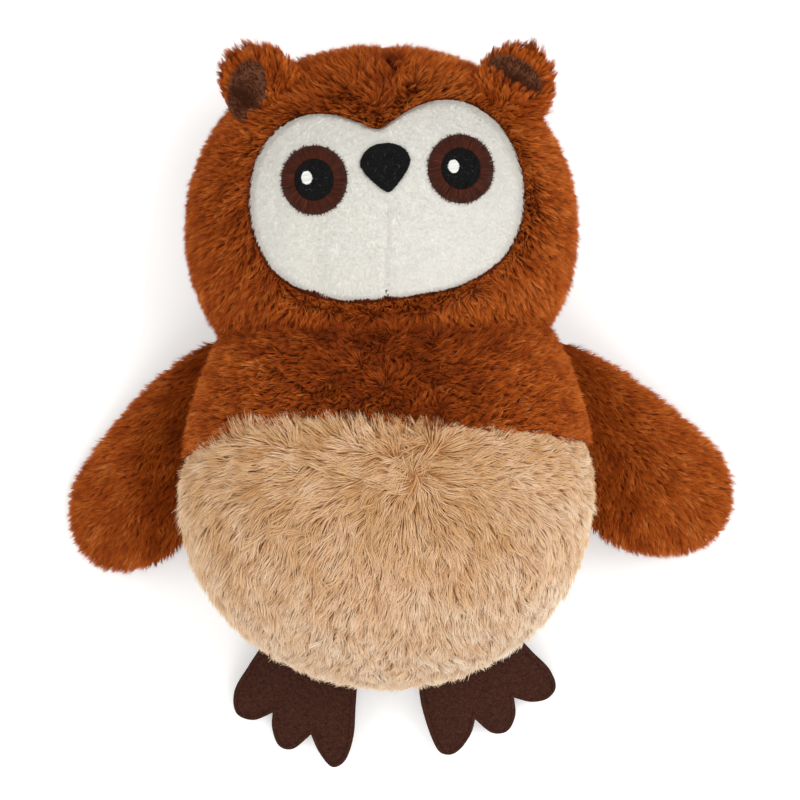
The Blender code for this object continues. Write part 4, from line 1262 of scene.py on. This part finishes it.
for seed, (side, name) in enumerate(SIDES):
    body = f"foot_{name}"
    first, middle, last = (np.array(marks) / 1000 for marks in TOE_LINES[name])
    edge = np.concatenate([smooth_line(marks, 10) for marks in (first, middle, last)])
    edge = edge[edge[:, 1] > FELT_START]
    # The lower ply ends straight at its root, and the upper one runs on as a tab with a bent edge.
    sewn_in = np.linspace(last[-1][0] - TAB_INSET, first[0][0], 9)
    depth, bend, centre = FELT_ROOT
    tab = np.stack([sewn_in, -depth - bend * (sewn_in - centre) ** 2], 1)
    outlines = {
        "upper": np.concatenate([edge, tab]),
        "lower": np.concatenate([[first[0]], edge, [last[-1], LOWER_ROOT]]),
    }
    # The foot hangs down from its seam until the toes rest on the table.
    reach, height = edge[:, 1].max(), joints[body]["pos_m"][2] - LOWEST
    droop = math.asin(height / math.hypot(reach, FELT_PLY)) - math.atan2(FELT_PLY, reach)
    hang = seam_frame(body, droop)
    for layer, (ply, rise) in enumerate((("upper", 1), ("lower", -1))):
        bm, row = felt_ply(outlines[ply])
        if ply == "upper":
            roll = {"radius1": HEM_RADIUS, "radius2": HEM_RADIUS, "depth": HEM[1] - HEM[0]}
            seat = Matrix.Translation((sum(HEM) / 2, 0, 0)) @ Matrix.Rotation(math.pi / 2, 4, "Y")
            bmesh.ops.create_cone(bm, cap_ends=True, segments=20, matrix=seat, **roll)
        turn_over = Matrix.Diagonal((side, 1, rise, 1))
        bm.transform(turn_over)
        if side * rise < 0:
            bmesh.ops.reverse_faces(bm, faces=bm.faces)
        bm.transform(hang)
        sew_on(f"{body}_{ply}_ply", bm, brown_felt, body, "brown_felt", f"{body}_{ply}_felt", thickness=0)
        lay_row(f"{body}_{ply}_stitches", row, hang @ turn_over, body, 130 + 2 * seed + layer)

# Studio
# A pale table under soft lamps, seen from straight above at the photograph's scale.
bpy.context.scene.view_settings.view_transform = "Standard"
bm = bmesh.new()
bmesh.ops.create_grid(bm, x_segments=8, y_segments=8, size=3.0)
mesh = bpy.data.meshes.new("table")
bm.to_mesh(mesh)
bm.free()
table = bpy.data.objects.new("table", mesh)
bpy.context.scene.collection.objects.link(table)
paper, tree = new_finish("white_table")
seen = add(tree, "ShaderNodeLightPath")
white = add(tree, "ShaderNodeBsdfDiffuse", {"Color": linear("#f4f3f1")})
glow = add(tree, "ShaderNodeEmission", {"Color": (1, 1, 1, 1), "Strength": 0.3})
both = add(tree, "ShaderNodeAddShader", {0: white.outputs[0], 1: glow.outputs[0]})
plain = add(tree, "ShaderNodeMixShader", {0: seen.outputs["Is Camera Ray"], 1: white.outputs[0], 2: both.outputs[0]})
add(tree, "ShaderNodeOutputMaterial", {"Surface": plain.outputs[0]})
mesh.materials.append(paper)

world = bpy.data.worlds.new("studio")
bpy.context.scene.world = world
world.use_nodes = True
tree = world.node_tree
tree.nodes.clear()
seen = add(tree, "ShaderNodeLightPath")
most = seen.outputs["Is Camera Ray"]
for kind in ("Is Glossy Ray", "Is Transmission Ray"):
    most = add(tree, "ShaderNodeMath", {0: most, 1: seen.outputs[kind]}, operation="MAXIMUM").outputs[0]
dim = add(tree, "ShaderNodeBackground", {"Color": (1, 1, 1, 1), "Strength": 0.66})
bright = add(tree, "ShaderNodeBackground", {"Color": (1, 1, 1, 1), "Strength": 1.0})
air = add(tree, "ShaderNodeMixShader", {0: most, 1: dim.outputs[0], 2: bright.outputs[0]})
add(tree, "ShaderNodeOutputWorld", {"Surface": air.outputs[0]})

AIM = Vector((0, 0.03, 0.05))
lamps = {
    "key_lamp": ((0.80, 0.35, 1.20), 1.2, 9.0),
    "fill_lamp": ((-0.80, 0.10, 1.10), 1.0, 3.6),
    "low_lamp": ((0.12, -0.75, 1.20), 1.0, 5.5),
}
for name, (spot, size, watts) in lamps.items():
    lamp = bpy.data.lights.new(name, "AREA")
    lamp.shape = "DISK"
    lamp.size = size
    lamp.energy = watts
    holder = bpy.data.objects.new(name, lamp)
    bpy.context.scene.collection.objects.link(holder)
    holder.location = spot
    holder.rotation_euler = (AIM - Vector(spot)).to_track_quat("-Z", "Y").to_euler()

lens = bpy.data.cameras.new("camera")
lens.sensor_width = 36.0
lens.lens = 175.5
lens.clip_end = 20.0
camera = bpy.data.objects.new("camera", lens)
bpy.context.scene.collection.objects.link(camera)
camera.location = (0.0048, 0.040, 1.6)
bpy.context.scene.camera = camera
